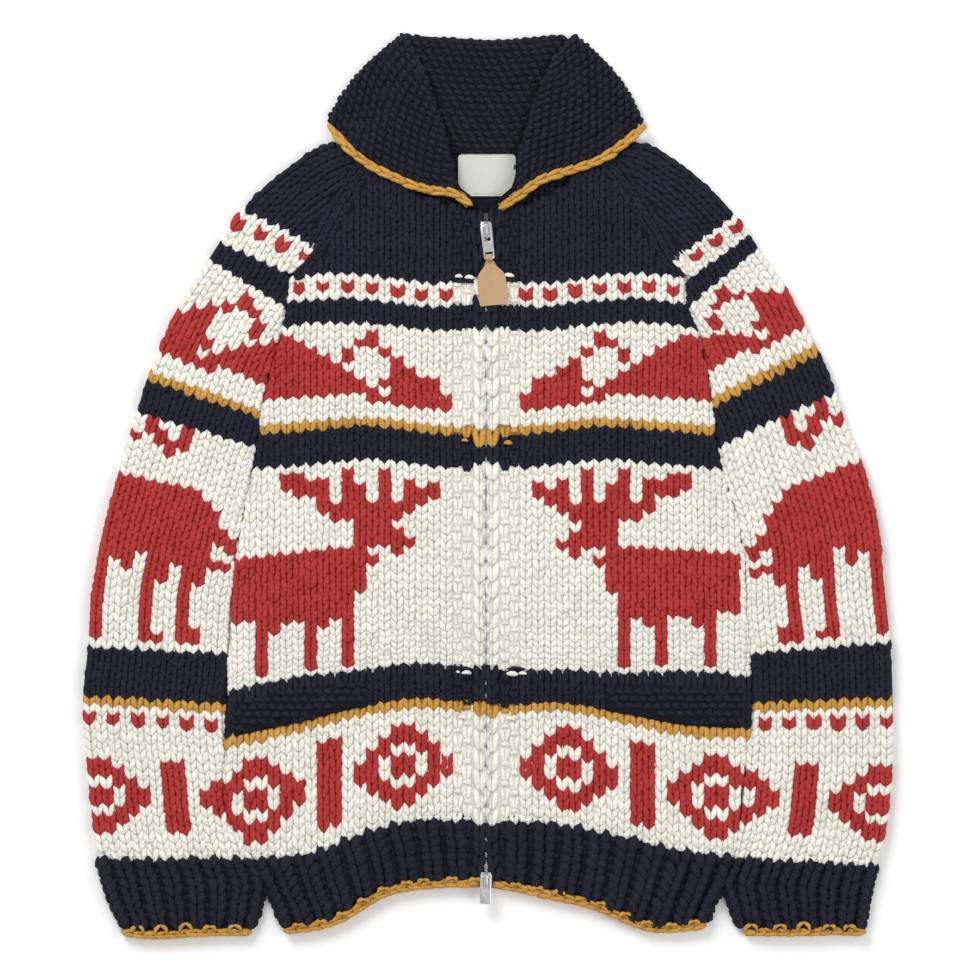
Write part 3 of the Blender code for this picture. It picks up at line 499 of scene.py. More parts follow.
class Yarn:
    """Lobes of yarn to be joined in one mesh."""

    def __init__(self, seed):
        self.parts = []
        self.random = np.random.default_rng(seed)

    def lobes(self, starts, ends, normals, width, thick, colours, bow=0.0):
        """Adds lobes from starts to ends. bow moves their middles sideways."""
        count = len(starts)
        width = np.broadcast_to(np.asarray(width, float), (count,))
        thick = np.broadcast_to(np.asarray(thick, float), (count,))
        bow = np.broadcast_to(np.asarray(bow, float), (count,))
        self.parts.append((starts, ends, normals, width, thick, np.asarray(colours), bow))

    def knits(self, points, ups, normals, width, height, colours, fat=1.0, length=1.0):
        """Adds knit stitches: two lobes each, a V that points down its column."""
        across = unit(np.cross(ups, normals))
        width = np.broadcast_to(np.asarray(width, float), (len(points),))[:, None]
        height = np.broadcast_to(np.asarray(height, float), (len(points),))[:, None]
        shift = self.random.normal(0, 0.36, (len(points), 3))
        swell = self.random.normal(1, 0.07, len(points))
        for hand in (-1, 1):
            lean = self.random.normal(0, 0.015, (len(points), 1))
            foot = points + shift + across * width * (hand * 0.065 + lean)
            foot = foot - ups * height * 0.98 * length + normals * 0.60
            head = points + shift + across * width * (hand * 0.375 + lean)
            head = head + ups * height * 0.80 * length - normals * 1.75
            leg = width[:, 0] * 0.262 * fat * swell
            self.lobes(foot, head, normals, leg, leg, colours, hand * width[:, 0] * 0.035)

    def purls(self, points, ups, normals, width, height, colours):
        """Adds purl bumps: one lobe each, across the column and bowed upwards."""
        across = unit(np.cross(ups, normals))
        width = np.broadcast_to(np.asarray(width, float), (len(points),))[:, None]
        height = np.broadcast_to(np.asarray(height, float), (len(points),))[:, None]
        lean = self.random.normal(0, 0.07, (len(points), 1)) * height
        low = points - across * width * 0.56 - ups * (height * 0.16 + lean) - normals * 0.9
        high = points + across * width * 0.56 - ups * (height * 0.16 - lean) - normals * 0.9
        thick = height[:, 0] * 0.40
        self.lobes(low, high, normals, thick, thick, colours, -height[:, 0] * 0.22)

    def mesh(self, name):
        """All the lobes in one mesh, with a UV along each and a tone for each."""
        starts, ends, normals, width, thick, colours, bow = (
            np.concatenate([part[k] for part in self.parts]) for k in range(7)
        )
        count = len(starts)
        run = unit(ends - starts)
        side = unit(np.cross(run, normals))
        rise = np.cross(side, run)
        angles = np.arange(LOBE_SIDES) * 2 * math.pi / LOBE_SIDES
        rings = []
        for place, share in zip(LOBE_PLACES, LOBE_SHARES):
            middle = starts + (ends - starts) * place
            middle = middle + side * (bow * math.sin(math.pi * place))[:, None]
            middle = middle + rise * (thick * 0.30 * math.sin(math.pi * place))[:, None]
            for angle in angles:
                lump = self.random.normal(1, 0.06, count)
                reach = side * (width * share * lump * math.cos(angle))[:, None]
                rings.append(middle + reach + rise * (thick * share * lump * math.sin(angle))[:, None])
        verts = np.stack([starts] + rings + [ends], axis=1)
        verts[..., 2] = np.maximum(verts[..., 2], FLOOR_GAP)
        each = verts.shape[1]
        faces, uvs = lobe_faces()
        offsets = np.arange(count) * each
        sizes = np.array([len(face) for face in faces])
        corners = np.concatenate([np.array(face) for face in faces])
        loops = (corners[None] + offsets[:, None]).ravel()
        mesh = bpy.data.meshes.new(name)
        mesh.vertices.add(count * each)
        mesh.vertices.foreach_set("co", (verts.reshape(-1, 3) * MM).ravel())
        mesh.loops.add(len(loops))
        mesh.loops.foreach_set("vertex_index", loops)
        totals = np.tile(sizes, count)
        mesh.polygons.add(len(totals))
        mesh.polygons.foreach_set("loop_start", np.concatenate([[0], np.cumsum(totals)[:-1]]))
        mesh.polygons.foreach_set("material_index", np.repeat(colours, len(sizes)))
        layer = mesh.uv_layers.new(name="strand")
        layer.data.foreach_set("uv", np.tile(np.array(uvs).ravel(), count))
        tone = mesh.attributes.new("tone", "FLOAT", "POINT")
        tones = np.clip(self.random.normal(0.5, 0.22, count), 0, 1)
        tone.data.foreach_set("value", np.repeat(tones, each))
        mesh.update(calc_edges=True)
        mesh.validate()
        mesh.shade_smooth()
        return mesh


def lobe_faces():
    """A lobe's faces as corner numbers, and the UV of each corner."""
    rings = len(LOBE_PLACES)
    last = 1 + rings * LOBE_SIDES
    places = (0.0,) + LOBE_PLACES + (1.0,)
    faces, uvs = [], []
    for k in range(LOBE_SIDES):
        after = (k + 1) % LOBE_SIDES
        left, right = k / LOBE_SIDES, (k + 1) / LOBE_SIDES
        faces.append((0, 1 + after, 1 + k))
        uvs += [((left + right) / 2, 0.0), (right, places[1]), (left, places[1])]
        for ring in range(rings - 1):
            low = 1 + ring * LOBE_SIDES
            high = low + LOBE_SIDES
            faces.append((low + k, low + after, high + after, high + k))
            uvs += [(left, places[ring + 1]), (right, places[ring + 1])]
            uvs += [(right, places[ring + 2]), (left, places[ring + 2])]
        top = last - LOBE_SIDES
        faces.append((last, top + k, top + after))
        uvs += [((left + right) / 2, 1.0), (left, places[-2]), (right, places[-2])]
    return faces, uvs


def finish_piece(name, mesh, materials, body="root"):
    """Links a finished mesh as a piece that rides on a body."""
    obj = bpy.data.objects.new(name, mesh)
    bpy.context.scene.collection.objects.link(obj)
    for material in materials:
        mesh.materials.append(material)
    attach(obj, body)
    return obj


def yarn_piece(name, yarn):
    """Joins the lobes of a yarn in one piece."""
    return finish_piece(name, yarn.mesh(name), yarn_materials()[0])


# Materials


def principled(name, roughness, metallic=0.0, **sockets):
    """A material with its shader's plain values set. Returns it, its nodes and a linker."""
    made = bpy.data.materials.new(name)
    made.use_nodes = True
    nodes = made.node_tree.nodes
    shader = nodes["Principled BSDF"]
    shader.inputs["Roughness"].default_value = roughness
    shader.inputs["Metallic"].default_value = metallic
    for socket, value in sockets.items():
        shader.inputs[socket.replace("_", " ")].default_value = value
    return made, nodes, made.node_tree.links.new


def noise(nodes, link, source, scale, detail=3.0):
    node = nodes.new("ShaderNodeTexNoise")
    node.inputs["Scale"].default_value = scale
    node.inputs["Detail"].default_value = detail
    link(source, node.inputs["Vector"])
    return node.outputs["Fac"]


def blend_colours(nodes, link, share, first, second):
    """A colour from first to second by a share between 0 and 1."""
    mix = nodes.new("ShaderNodeMix")
    mix.data_type = "RGBA"
    link(share, mix.inputs["Factor"])
    for socket, value in (("A", first), ("B", second)):
        target = [one for one in mix.inputs if one.name == socket and one.type == "RGBA"][0]
        if hasattr(value, "links"):
            link(value, target)
        else:
            target.default_value = (*value[:3], 1)
    return [one for one in mix.outputs if one.type == "RGBA"][0]


def arithmetic(nodes, link, operation, first, second):
    node = nodes.new("ShaderNodeMath")
    node.operation = operation
    for socket, value in zip(node.inputs, (first, second)):
        if isinstance(value, (int, float)):
            socket.default_value = value
        else:
            link(value, socket)
    return node.outputs[0]


def bump(nodes, link, height, depth, strength=1.0, below=None):
    """A bump of this depth in millimetres, over an earlier one if given."""
    node = nodes.new("ShaderNodeBump")
    node.inputs["Strength"].default_value = strength
    node.inputs["Distance"].default_value = depth * MM
    link(height, node.inputs["Height"])
    if below is not None:
        link(below, node.inputs["Normal"])
    return node.outputs["Normal"]


def scaled(colour, factor):
    return tuple(min(1.0, part * factor) for part in colour[:3])


def wool(name, colour, other, soft):
    """Thick wool yarn: a heathered colour, the twist of its plies, and loose fibres."""
    made, nodes, link = principled(
        name, 0.92, Sheen_Weight=0.03, Sheen_Roughness=0.45, Specular_IOR_Level=0.25,
        Subsurface_Weight=soft, Subsurface_Scale=0.003, Subsurface_Radius=(1.0, 0.9, 0.75),
    )
    shader = nodes["Principled BSDF"]
    shader.inputs["Sheen Tint"].default_value = (*scaled(other, 1.6), 1)
    where = nodes.new("ShaderNodeTexCoord").outputs["Object"]
    slow = noise(nodes, link, where, 38.0)
    fine = noise(nodes, link, where, 620.0, 4.0)
    share = arithmetic(nodes, link, "MULTIPLY_ADD", fine, 0.45)
    link(slow, share.node.inputs[2])
    share = arithmetic(nodes, link, "SUBTRACT", share, 0.22)
    heather = blend_colours(nodes, link, share, scaled(colour, 0.82), other)
    tone = nodes.new("ShaderNodeAttribute")
    tone.attribute_name = "tone"
    some = arithmetic(nodes, link, "MULTIPLY", tone.outputs["Fac"], 0.5)
    heather = blend_colours(nodes, link, some, heather, scaled(other, 1.12))
    link(heather, shader.inputs["Base Color"])
    fibres = noise(nodes, link, where, 1500.0, 2.0)
    normal = bump(nodes, link, fibres, 0.35, 0.5)
    uv = nodes.new("ShaderNodeUVMap")
    uv.uv_map = "strand"
    stretch = nodes.new("ShaderNodeMapping")
    stretch.inputs["Scale"].default_value = (2.0, 4.0, 0.0)
    link(uv.outputs["UV"], stretch.inputs["Vector"])
    ply = nodes.new("ShaderNodeTexWave")
    ply.bands_direction = "DIAGONAL"
    ply.inputs["Scale"].default_value = 2 * math.pi / 10
    ply.inputs["Distortion"].default_value = 0.6
    link(stretch.outputs["Vector"], ply.inputs["Vector"])
    normal = bump(nodes, link, ply.outputs["Fac"], 0.7, 0.55, normal)
    link(normal, shader.inputs["Normal"])
    return made


def shaded_knit_ground(name, colour, other):
    """Plain knitting seen from the wrong side or under the yarn: rows of small V shapes, darker overall
    and in their hollows as painted shade.
    """
    made, nodes, link = principled(name, 0.95, Specular_IOR_Level=0.2)
    shader = nodes["Principled BSDF"]
    where = nodes.new("ShaderNodeTexCoord").outputs["Object"]
    split = nodes.new("ShaderNodeSeparateXYZ")
    link(where, split.inputs[0])
    column = arithmetic(nodes, link, "PINGPONG", split.outputs["X"], 0.00553)
    lifted = arithmetic(nodes, link, "MULTIPLY", column, 0.8)
    place = arithmetic(nodes, link, "SUBTRACT", split.outputs["Y"], lifted)
    row = arithmetic(nodes, link, "PINGPONG", place, 0.0038)
    height = arithmetic(nodes, link, "MULTIPLY", arithmetic(nodes, link, "DIVIDE", row, 0.0038),
                        arithmetic(nodes, link, "DIVIDE", column, 0.00553))
    fine = noise(nodes, link, where, 500.0)
    # Painted shade in the hollows: where the V rows lie low the colour goes to a darkened copy of the
    # yarn, and where they rise to the fleck colour, with some random noise mixed in.
    shade = arithmetic(nodes, link, "ADD", arithmetic(nodes, link, "MULTIPLY", height, 0.6),
                       arithmetic(nodes, link, "MULTIPLY", fine, 0.4))
    link(blend_colours(nodes, link, shade, scaled(colour, 0.72), other), shader.inputs["Base Color"])
    normal = bump(nodes, link, height, 1.6, 0.8, bump(nodes, link, fine, 0.3, 0.5))
    link(normal, shader.inputs["Normal"])
    return made


def yarn_materials():
    """The four wools of the stitches, and the four of the shells under them, darkened as painted shade
    for the depth between stitches.
    """
    if "navy_yarn" not in bpy.data.materials:
        pick = settings()
        for yarn in YARNS:
            colour, other = getattr(pick, yarn), getattr(pick, yarn + "_heather")
            wool(yarn + "_yarn", colour, other, 0.6 if yarn == "cream" else 0.0)
            # Painted shade: the ground wools are darker copies of the yarns, less so for cream, so the
            # gaps between stitches read as shaded.
            shade = 0.95 if yarn == "cream" else 0.7
            shaded_knit_ground(yarn + "_ground", scaled(colour, shade), scaled(other, shade))
    stitches = [bpy.data.materials[yarn + "_yarn"] for yarn in YARNS]
    grounds = [bpy.data.materials[yarn + "_ground"] for yarn in YARNS]
    return stitches, grounds


# The plan of the knitting


def chart_colour(chart, row, column):
    """Red or cream at this place of a chart, row 0 at its foot, or cream outside it."""
    if 0 <= row < len(chart) and 0 <= column < len(chart[0]):
        return "red" if chart[len(chart) - 1 - row][column] == "#" else "cream"
    return "cream"


def repeat_colour(chart, row, column):
    return chart_colour(chart, row, column % len(chart[0]))


# A front's bands from the hem up: its named row below and above, and its number of rows
BODY_BANDS = (
    {"from": "hem", "to": "rib_top", "rows": 8},
    {"from": "rib_top", "to": "band_foot", "rows": 12},
    {"from": "band_foot", "to": "stag_foot", "rows": 7},
    {"from": "stag_foot", "to": "stag_head", "rows": 26},
    {"from": "stag_head", "to": "chest", "rows": 23},
)
YOKE_ROWS = 18


def body_colour(band, row, column):
    """The yarn of a body stitch. column counts from the zip band to the side."""
    if band == "hem":
        return "navy"
    if band == "rib_top":
        return repeat_colour(DIAMONDS, row - 2, column + 1)
    if band == "band_foot":
        return "mustard" if row == 0 else "navy"
    if band == "stag_foot":
        return chart_colour(STAG, row - 1, 17 - column)
    if band == "stag_head":
        if row < 4:
            return "navy"
        if row == 4:
            return "mustard"
        if row < 17:
            return chart_colour(MOUNTAIN, row - 7, 17 - column)
        if row < 20:
            return "navy"
        return "red" if row == 21 and column % 2 == 0 else "cream"
    return "navy"


def front_heights(side, v, x):
    """Heights of a front's rows at these distances across. v counts named rows, and past the last
    one knitted rows."""
    table = np.array(list(NAMED_ROWS[side].values()), float)
    table[0] += BIND_OFF
    last = len(table) - 1
    lines = smooth(np.arange(last + 1), table, np.minimum(v, last))
    lines = lines + np.maximum(v - last, 0)[:, None] * settings().row_height / MM
    steps = np.linspace(0, 1, table.shape[1])
    heights = np.empty((len(v), len(x)))
    for i, line in enumerate(lines):
        y = np.full(len(x), line.mean())
        for _ in range(4):
            edge = side_x(side, np.minimum(y, 189))
            share = np.clip((x - edge) / (zip_edge(side) - edge), 0, 1)
            y = smooth(steps, line, share)
        heights[i] = y
    return heights


def row_places():
    """For each knitted row of a front: its band, its number there, and its lower and upper place
    on the scale of named rows."""
    rows = []
    for index, band in enumerate(BODY_BANDS):
        for row in range(band["rows"]):
            low = index + row / band["rows"]
            rows.append((band["from"], row, low, low + 1 / band["rows"]))
    top = len(BODY_BANDS)
    for row in range(YOKE_ROWS):
        rows.append(("chest", row, top + row, top + row + 1))
    return rows


def front_outline(side):
    """A front's outline, anticlockwise: its side folds, and its raglan, neck, zip and hem end."""
    mirror = HAND[side]
    underarm = RAGLAN[side][-1][0]
    y = np.linspace(-396, underarm, 90)
    fold = np.stack([side_x(side, y), y], axis=1)
    y = np.linspace(underarm, 311, 30)
    raglan = np.stack([side_x(side, y), y], axis=1)
    neck_x = np.linspace(raglan[-1, 0], zip_edge(side), 24)
    neck_y = smooth(STEPS, NECK_LINE, np.linspace(0, 1, 24))
    neck_y += UNDER_COLLAR * step((abs(neck_x) - 14) / 16)
    neck = np.stack([neck_x, neck_y], axis=1)
    down = np.array([neck[-1], (zip_edge(side), -361)])
    hem_y = np.array(NAMED_ROWS[side]["hem"][::-1], float) + BIND_OFF
    hem = np.stack([np.linspace(zip_edge(side), fold[0, 0], 30),
                    smooth(STEPS, hem_y, np.linspace(0, 1, 30))], axis=1)
    outline = Outline()
    parts = [(fold, True, 0), (raglan, False, SEAM_COLUMN), (neck, False, 0.4), (down, False, 0),
             (hem, False, 0)]
    for points, is_fold, inset in parts:
        outline.add(points if mirror == 1 else points[::-1], is_fold, inset)
    return outline


def front_stitches(side):
    """The stockinette of a front: plan places, ups, heights, yarns."""
    pick = settings()
    mirror = HAND[side]
    width = pick.stitch_width / MM
    columns = np.arange(21 + 2)
    x = zip_edge(side) + mirror * (ZIP_BAND + (columns + 0.5) * width)
    places, heights, yarns, hearts = [], [], [], []
    rows = row_places()
    lows = front_heights(side, np.array([row[2] for row in rows]), x)
    highs = front_heights(side, np.array([row[3] for row in rows]), x)
    for i, (band, row, low, high) in enumerate(rows):
        if band == "hem":
            continue
        for j, column in enumerate(columns):
            places.append((x[j], (lows[i, j] + highs[i, j]) / 2))
            heights.append(highs[i, j] - lows[i, j])
            name = body_colour(band, row, column)
            yarns.append(YARNS.index(name))
            hearts.append(band == "stag_head" and row == 21 and name == "red")
    places = np.array(places)
    ups = np.tile([0.0, 1.0, 0.0], (len(places), 1))
    return places, ups, np.array(heights), np.array(yarns), np.array(hearts)


def knit_field(yarn, points, ups, normals, width, heights, yarns, hearts):
    """Plain stitches, and the larger ones that make hearts."""
    plain = ~hearts
    yarn.knits(points[plain], ups[plain], normals[plain], width, heights[plain], yarns[plain])
    grown = yarn.random.uniform(0.9, 1.15, hearts.sum())
    yarn.knits(points[hearts] + normals[hearts] * 0.7, ups[hearts], normals[hearts],
               width * 1.08 * grown, heights[hearts] * 1.12 * grown, yarns[hearts], 1.0)


def rib_stitches(side):
    """The hem rib of a front: plan places, heights, and whether each is a knit or a purl."""
    rows = [row for row in row_places() if row[0] == "hem"]
    width = abs(float(side_x(side, 0)) - ZIP_X)
    ribs = round(width / RIB_PITCH)
    shares = np.arange(0, 2 * ribs + 1) / (2 * ribs)
    out = []
    for band, row, low, high in rows:
        for k, share in enumerate(shares):
            y = NAMED_ROWS[side]["hem"][0]
            for _ in range(4):
                edge = float(side_x(side, y))
                x = edge + (zip_edge(side) - edge) * share
                bottom, top = front_heights(side, np.array([low, high]), np.array([x]))[:, 0]
                y = (bottom + top) / 2
            pitch = abs(zip_edge(side) - edge) / (2 * ribs)
            out.append((x, y, top - bottom, pitch, k % 2 == 0))
    return out


def tangent_up(ups, normals):
    """Column directions laid in the surface."""
    return unit(ups - normals * (ups * normals).sum(-1, keepdims=True))


def make_shell(name, node, finder, grounds, depth, longest=8.0):
    """A panel's cloth: its solid's form with the outer face a little lower, coloured as the yarn
    that lies on it, in the darker ground wool that is painted shade between the stitches."""
    bm = cad_copy(node)
    refill_underside(bm)
    for _ in range(6):
        long = [edge for edge in bm.edges if edge.calc_length() > longest]
        if not long:
            break
        bmesh.ops.subdivide_edges(bm, edges=long, cuts=1)
        bmesh.ops.triangulate(bm, faces=[face for face in bm.faces if len(face.verts) > 3])
    bm.normal_update()
    moves = {vert: vert.normal.copy() for vert in bm.verts}
    for vert, normal in moves.items():
        if normal.z > -0.35:
            vert.co.z = max(vert.co.z - normal.z * depth, FLOOR_GAP)
    for face in bm.faces:
        x, y, z = face.calc_center_median()
        face.material_index = finder(x, y)
        face.smooth = True
    bmesh.ops.scale(bm, vec=(MM, MM, MM), verts=bm.verts)
    mesh = bpy.data.meshes.new(name)
    bm.to_mesh(mesh)
    bm.free()
    obj = finish_piece(name, mesh, grounds)
    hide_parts(node)
    return obj


def colour_finder(places, yarns):
    """A function that gives the yarn nearest to a place."""
    tree = KDTree(len(places))
    for k, (x, y) in enumerate(places):
        tree.insert((x, y, 0), k)
    tree.balance()
    return lambda x, y: int(yarns[tree.find((x, y, 0))[1]])


def near_slider(y):
    """1 at either slider, falling to 0 a little way along the zip."""
    away = np.minimum(abs(y - SLIDER_TOP), abs(y - SLIDER_BOTTOM))
    return 1 - step((away - 10) / 16)


def knit_zip_band(yarn, side, surface, outline):
    """The band beside the zip: a chain of slipped stitches at its edge, two rows each, that
    closes over the teeth, then moss stitch."""
    mirror = HAND[side]
    rows = row_places()
    for column in range(-1, MOSS_COLUMNS):
        each = 2 if column < 0 else 1
        away = CHAIN_COLUMN / 2 if column < 0 else CHAIN_COLUMN + (column + 0.5) * MOSS_WIDTH
        x = np.array([zip_edge(side) + mirror * away])
        low = front_heights(side, np.array([row[2] for row in rows]), x)[::each, 0]
        high = front_heights(side, np.array([row[3] for row in rows]), x)[each - 1::each, 0]
        low = low[:len(high)]
        tints = []
        for k in range(len(high)):
            names = [body_colour(band, row, 0) for band, row, _, _ in rows[k * each:(k + 1) * each]]
            name = "mustard" if "mustard" in names else names[0]
            tints.append(YARNS.index("cream" if name == "red" else name))
        tints = np.array(tints)
        y = (low + high) / 2
        over = 2.6 * (1 - near_slider(y)) if column < 0 else 0.6
        flat = np.stack([x[0] - mirror * over * np.ones(len(y)), y], axis=1)
        held = np.stack([np.full(len(y), x[0]), y], axis=1)
        keep, points, normals = settle(held, surface, outline, 100)
        points[:, :2] = flat
        up = tangent_up(np.tile([0.0, 1.0, 0.0], (len(points), 1)), normals)
        if column < 0:
            yarn.knits((points - normals * 0.9)[keep], up[keep], normals[keep],
                       CHAIN_COLUMN * 1.08, (high - low)[keep], tints[keep], 1.08, 0.74)
            edge = ZIP_X + mirror * (2.2 + 3.4 * near_slider(y))
            foot = np.stack([edge, low - 2.0, points[:, 2] - 0.2], axis=1)
            head = np.stack([edge, high + 2.0, points[:, 2] - 0.2], axis=1)
            yarn.lobes(foot[keep], head[keep], np.tile([0.0, 0.0, 1.0], (keep.sum(), 1)), 1.7, 1.6,
                       tints[keep])
            continue
        bumpy = (np.arange(len(y)) + column) % 2 == 0
        here = keep & bumpy
        yarn.purls((points - normals * 1.3)[here], up[here], normals[here], MOSS_WIDTH * 0.9,
                   (high - low)[here] * 0.9, tints[here])
        here = keep & ~bumpy
        yarn.knits((points - normals * 1.5)[here], up[here], normals[here], MOSS_WIDTH,
                   (high - low)[here], tints[here])


def add_floats(yarn, side):
    """The carried strands that show on the band."""
    mirror = HAND[side]
    for strand in FLOATS[side]:
        middle = zip_edge(side) + mirror * strand["at"]
        half = strand["length"] / 2
        level = GARMENT + (1.5 if strand["yarn"] != "navy" else 0.9)
        start = np.array([[middle - half, strand["height"] - 0.5, level]])
        end = np.array([[middle + half, strand["height"] - 0.9, level]])
        shade = np.array([YARNS.index(strand["yarn"])])
        yarn.lobes(start, end, np.array([[0, 0, 1.0]]), strand["thick"], strand["thick"], shade, -1.0)


def knit_front(side):
    grounds = yarn_materials()[1]
    pick = settings()
    mirror = HAND[side]
    surface = Surface("front_" + side)
    outline = front_outline(side)
    places, ups, heights, yarns, hearts = front_stitches(side)
    keep, points, normals = settle(places, surface, outline, 100, fold_inset=0.8, spare=240)
    yarn = Yarn(11 if side == "left" else 12)
    width = pick.stitch_width / MM
    sunk = points - normals * 1.4
    up = tangent_up(ups, normals)
    knit_field(yarn, sunk[keep], up[keep], normals[keep], width, heights[keep], yarns[keep],
               hearts[keep])
    raglan_column(yarn, side, "front", surface, colour_finder(places, yarns))
    ribs = rib_stitches(side)
    rib_places = np.array([(x, y) for x, y, height, pitch, knit in ribs])
    rib_heights = np.array([rib[2] for rib in ribs])
    pitches = np.array([rib[3] for rib in ribs])
    knit = np.array([rib[4] for rib in ribs])
    keep_rib, points, normals = settle(rib_places, surface, outline, 100, 0.8)
    up = tangent_up(np.tile([0.0, 1.0, 0.0], (len(points), 1)), normals)
    keep_rib &= abs(rib_places[:, 0] - zip_edge(side)) > CHAIN_COLUMN
    here = keep_rib & knit
    yarn.knits((points - normals * RIB_SINK)[here], up[here], normals[here], pitches[here] * RIB_SPREAD,
               rib_heights[here], np.zeros(here.sum(), int), 0.95)
    here = keep_rib & ~knit
    yarn.purls((points - normals * FURROW_SINK)[here], up[here], normals[here], pitches[here] * 0.9,
               rib_heights[here], np.zeros(here.sum(), int))
    knit_zip_band(yarn, side, surface, outline)
    add_floats(yarn, side)
    band = abs(places[:, 0] - zip_edge(side)) < ZIP_BAND + width
    yarns[band & (yarns == YARNS.index("red"))] = YARNS.index("cream")
    edge_places = places[band] - np.array([mirror * ZIP_BAND, 0])
    shell_colours = colour_finder(
        np.concatenate([places, edge_places, rib_places]),
        np.concatenate([yarns, yarns[band], np.zeros(len(ribs), int)]),
    )
    shell = make_shell("front_%s_cloth" % side, "front_" + side, shell_colours, grounds,
                       1.3)
    obj = yarn_piece("front_%s_stitches" % side, yarn)
    return shell, obj, shell_colours


# Sleeves


def sleeve_guides(side):
    """Points of a sleeve's outer and inner edges at each boundary between its knitted rows."""
    mirror = HAND[side]
    outer = np.array(SLEEVE_OUTER[side], float)
    outer[0, 1] += BIND_OFF
    fine = np.linspace(0, 1, 800)
    outer_curve = along(outer, fine)
    rising = np.maximum.accumulate(outer_curve[:, 1])
    table = SLEEVE_ROWS[side]
    row_numbers = np.cumsum([line["rows"] for line in table])
    total = row_numbers[-1] + YOKE_ROWS_OF_SLEEVE
    rows = np.arange(total + 1)
    neck_y = 310.0
    inner_y = smooth(
        np.append(row_numbers, total), np.append([line["inner"] for line in table], neck_y), rows
    )
    shares = np.interp([line["outer"] for line in table], rising, fine)
    shares[0] = 0.0
    outer_share = smooth(np.append(row_numbers, total), np.append(shares, 1.0), rows)
    cuff = np.array(CUFF_INNER[side] + ((float(side_x(side, CUFF_END)), CUFF_END),), float)
    beside_cuff = np.interp(inner_y, cuff[:, 1], cuff[:, 0])
    inner_x = np.where(inner_y < CUFF_END, beside_cuff, side_x(side, inner_y))
    inner = np.stack([inner_x + mirror * 0.8, inner_y], axis=1)
    return along(outer, outer_share), inner, row_numbers


def sleeve_outline(side):
    outers, inners, row_numbers = sleeve_guides(side)
    underarm = RAGLAN[side][-1][0]
    fold_in = inners[inners[:, 1] <= underarm]
    seam = inners[inners[:, 1] >= underarm - 4]
    cuff = np.array([outers[0], inners[0]])
    neck = np.array([inners[-1], outers[-1]])
    outline = Outline()
    parts = [(cuff, False, 0), (fold_in, True, 0), (seam, False, SEAM_COLUMN), (neck, False, 0.4),
             (outers[::-1], True, 0)]
    for points, is_fold, inset in parts:
        outline.add(points[::-1] if side == "right" else points, is_fold, inset)
    return outline


def raglan_column(yarn, side, part, surface, finder):
    """The column of stitches that runs up beside a raglan seam, on a front or a sleeve."""
    toward = 1 if (side == "left") == (part == "front") else -1
    y = np.linspace(RAGLAN[side][-1][0] + 3, 306, 80)
    line = np.stack([side_x(side, y), y], axis=1)
    lengths = path_lengths(line)
    pitch = settings().row_height / MM
    stops = np.arange(pitch / 2, lengths[-1], pitch)
    at = np.stack([np.interp(stops, lengths, line[:, k]) for k in range(2)], axis=1)
    run = unit(np.gradient(at, axis=0))
    at += np.stack([run[:, 1], -run[:, 0]], axis=1) * toward * SEAM_COLUMN * 0.48
    z = surface.heights(at)
    z = np.where(np.isnan(z), GARMENT - 0.6, z)
    points = np.concatenate([at, z[:, None] - 0.5], axis=1)
    normals = np.tile([0.0, 0.0, 1.0], (len(at), 1))
    up = np.concatenate([run, np.zeros((len(at), 1))], axis=1)
    tints = np.array([finder(x, y) for x, y in at])
    yarn.knits(points - normals * 1.5, up, normals, SEAM_COLUMN * 1.25, pitch, tints)


def sleeve_colour(number, row_numbers, column):
    """The yarn of a sleeve stitch. column counts from the outer edge."""
    band = int(np.searchsorted(row_numbers, number, side="right")) - 1
    row = number - row_numbers[band]
    if band == 0:
        return "navy"
    if band == 1:
        if row == 15:
            return "red" if column % 2 == 0 else "cream"
        if row == 17:
            return "mustard"
        return repeat_colour(DIAMONDS, row - 3, column + 4)
    if band == 2:
        return "navy"
    if band == 3:
        return chart_colour(SLEEVE_STAG, row - 1, max(column, 0))
    if band == 4:
        return "navy"
    if band == 5:
        return "mustard" if row == 0 else chart_colour(MOUNTAIN, row - 3, 15 - column)
    if band == 6:
        return "navy"
    if band == 7:
        return "red" if row == 2 and column % 2 == 0 else "cream"
    return "navy"


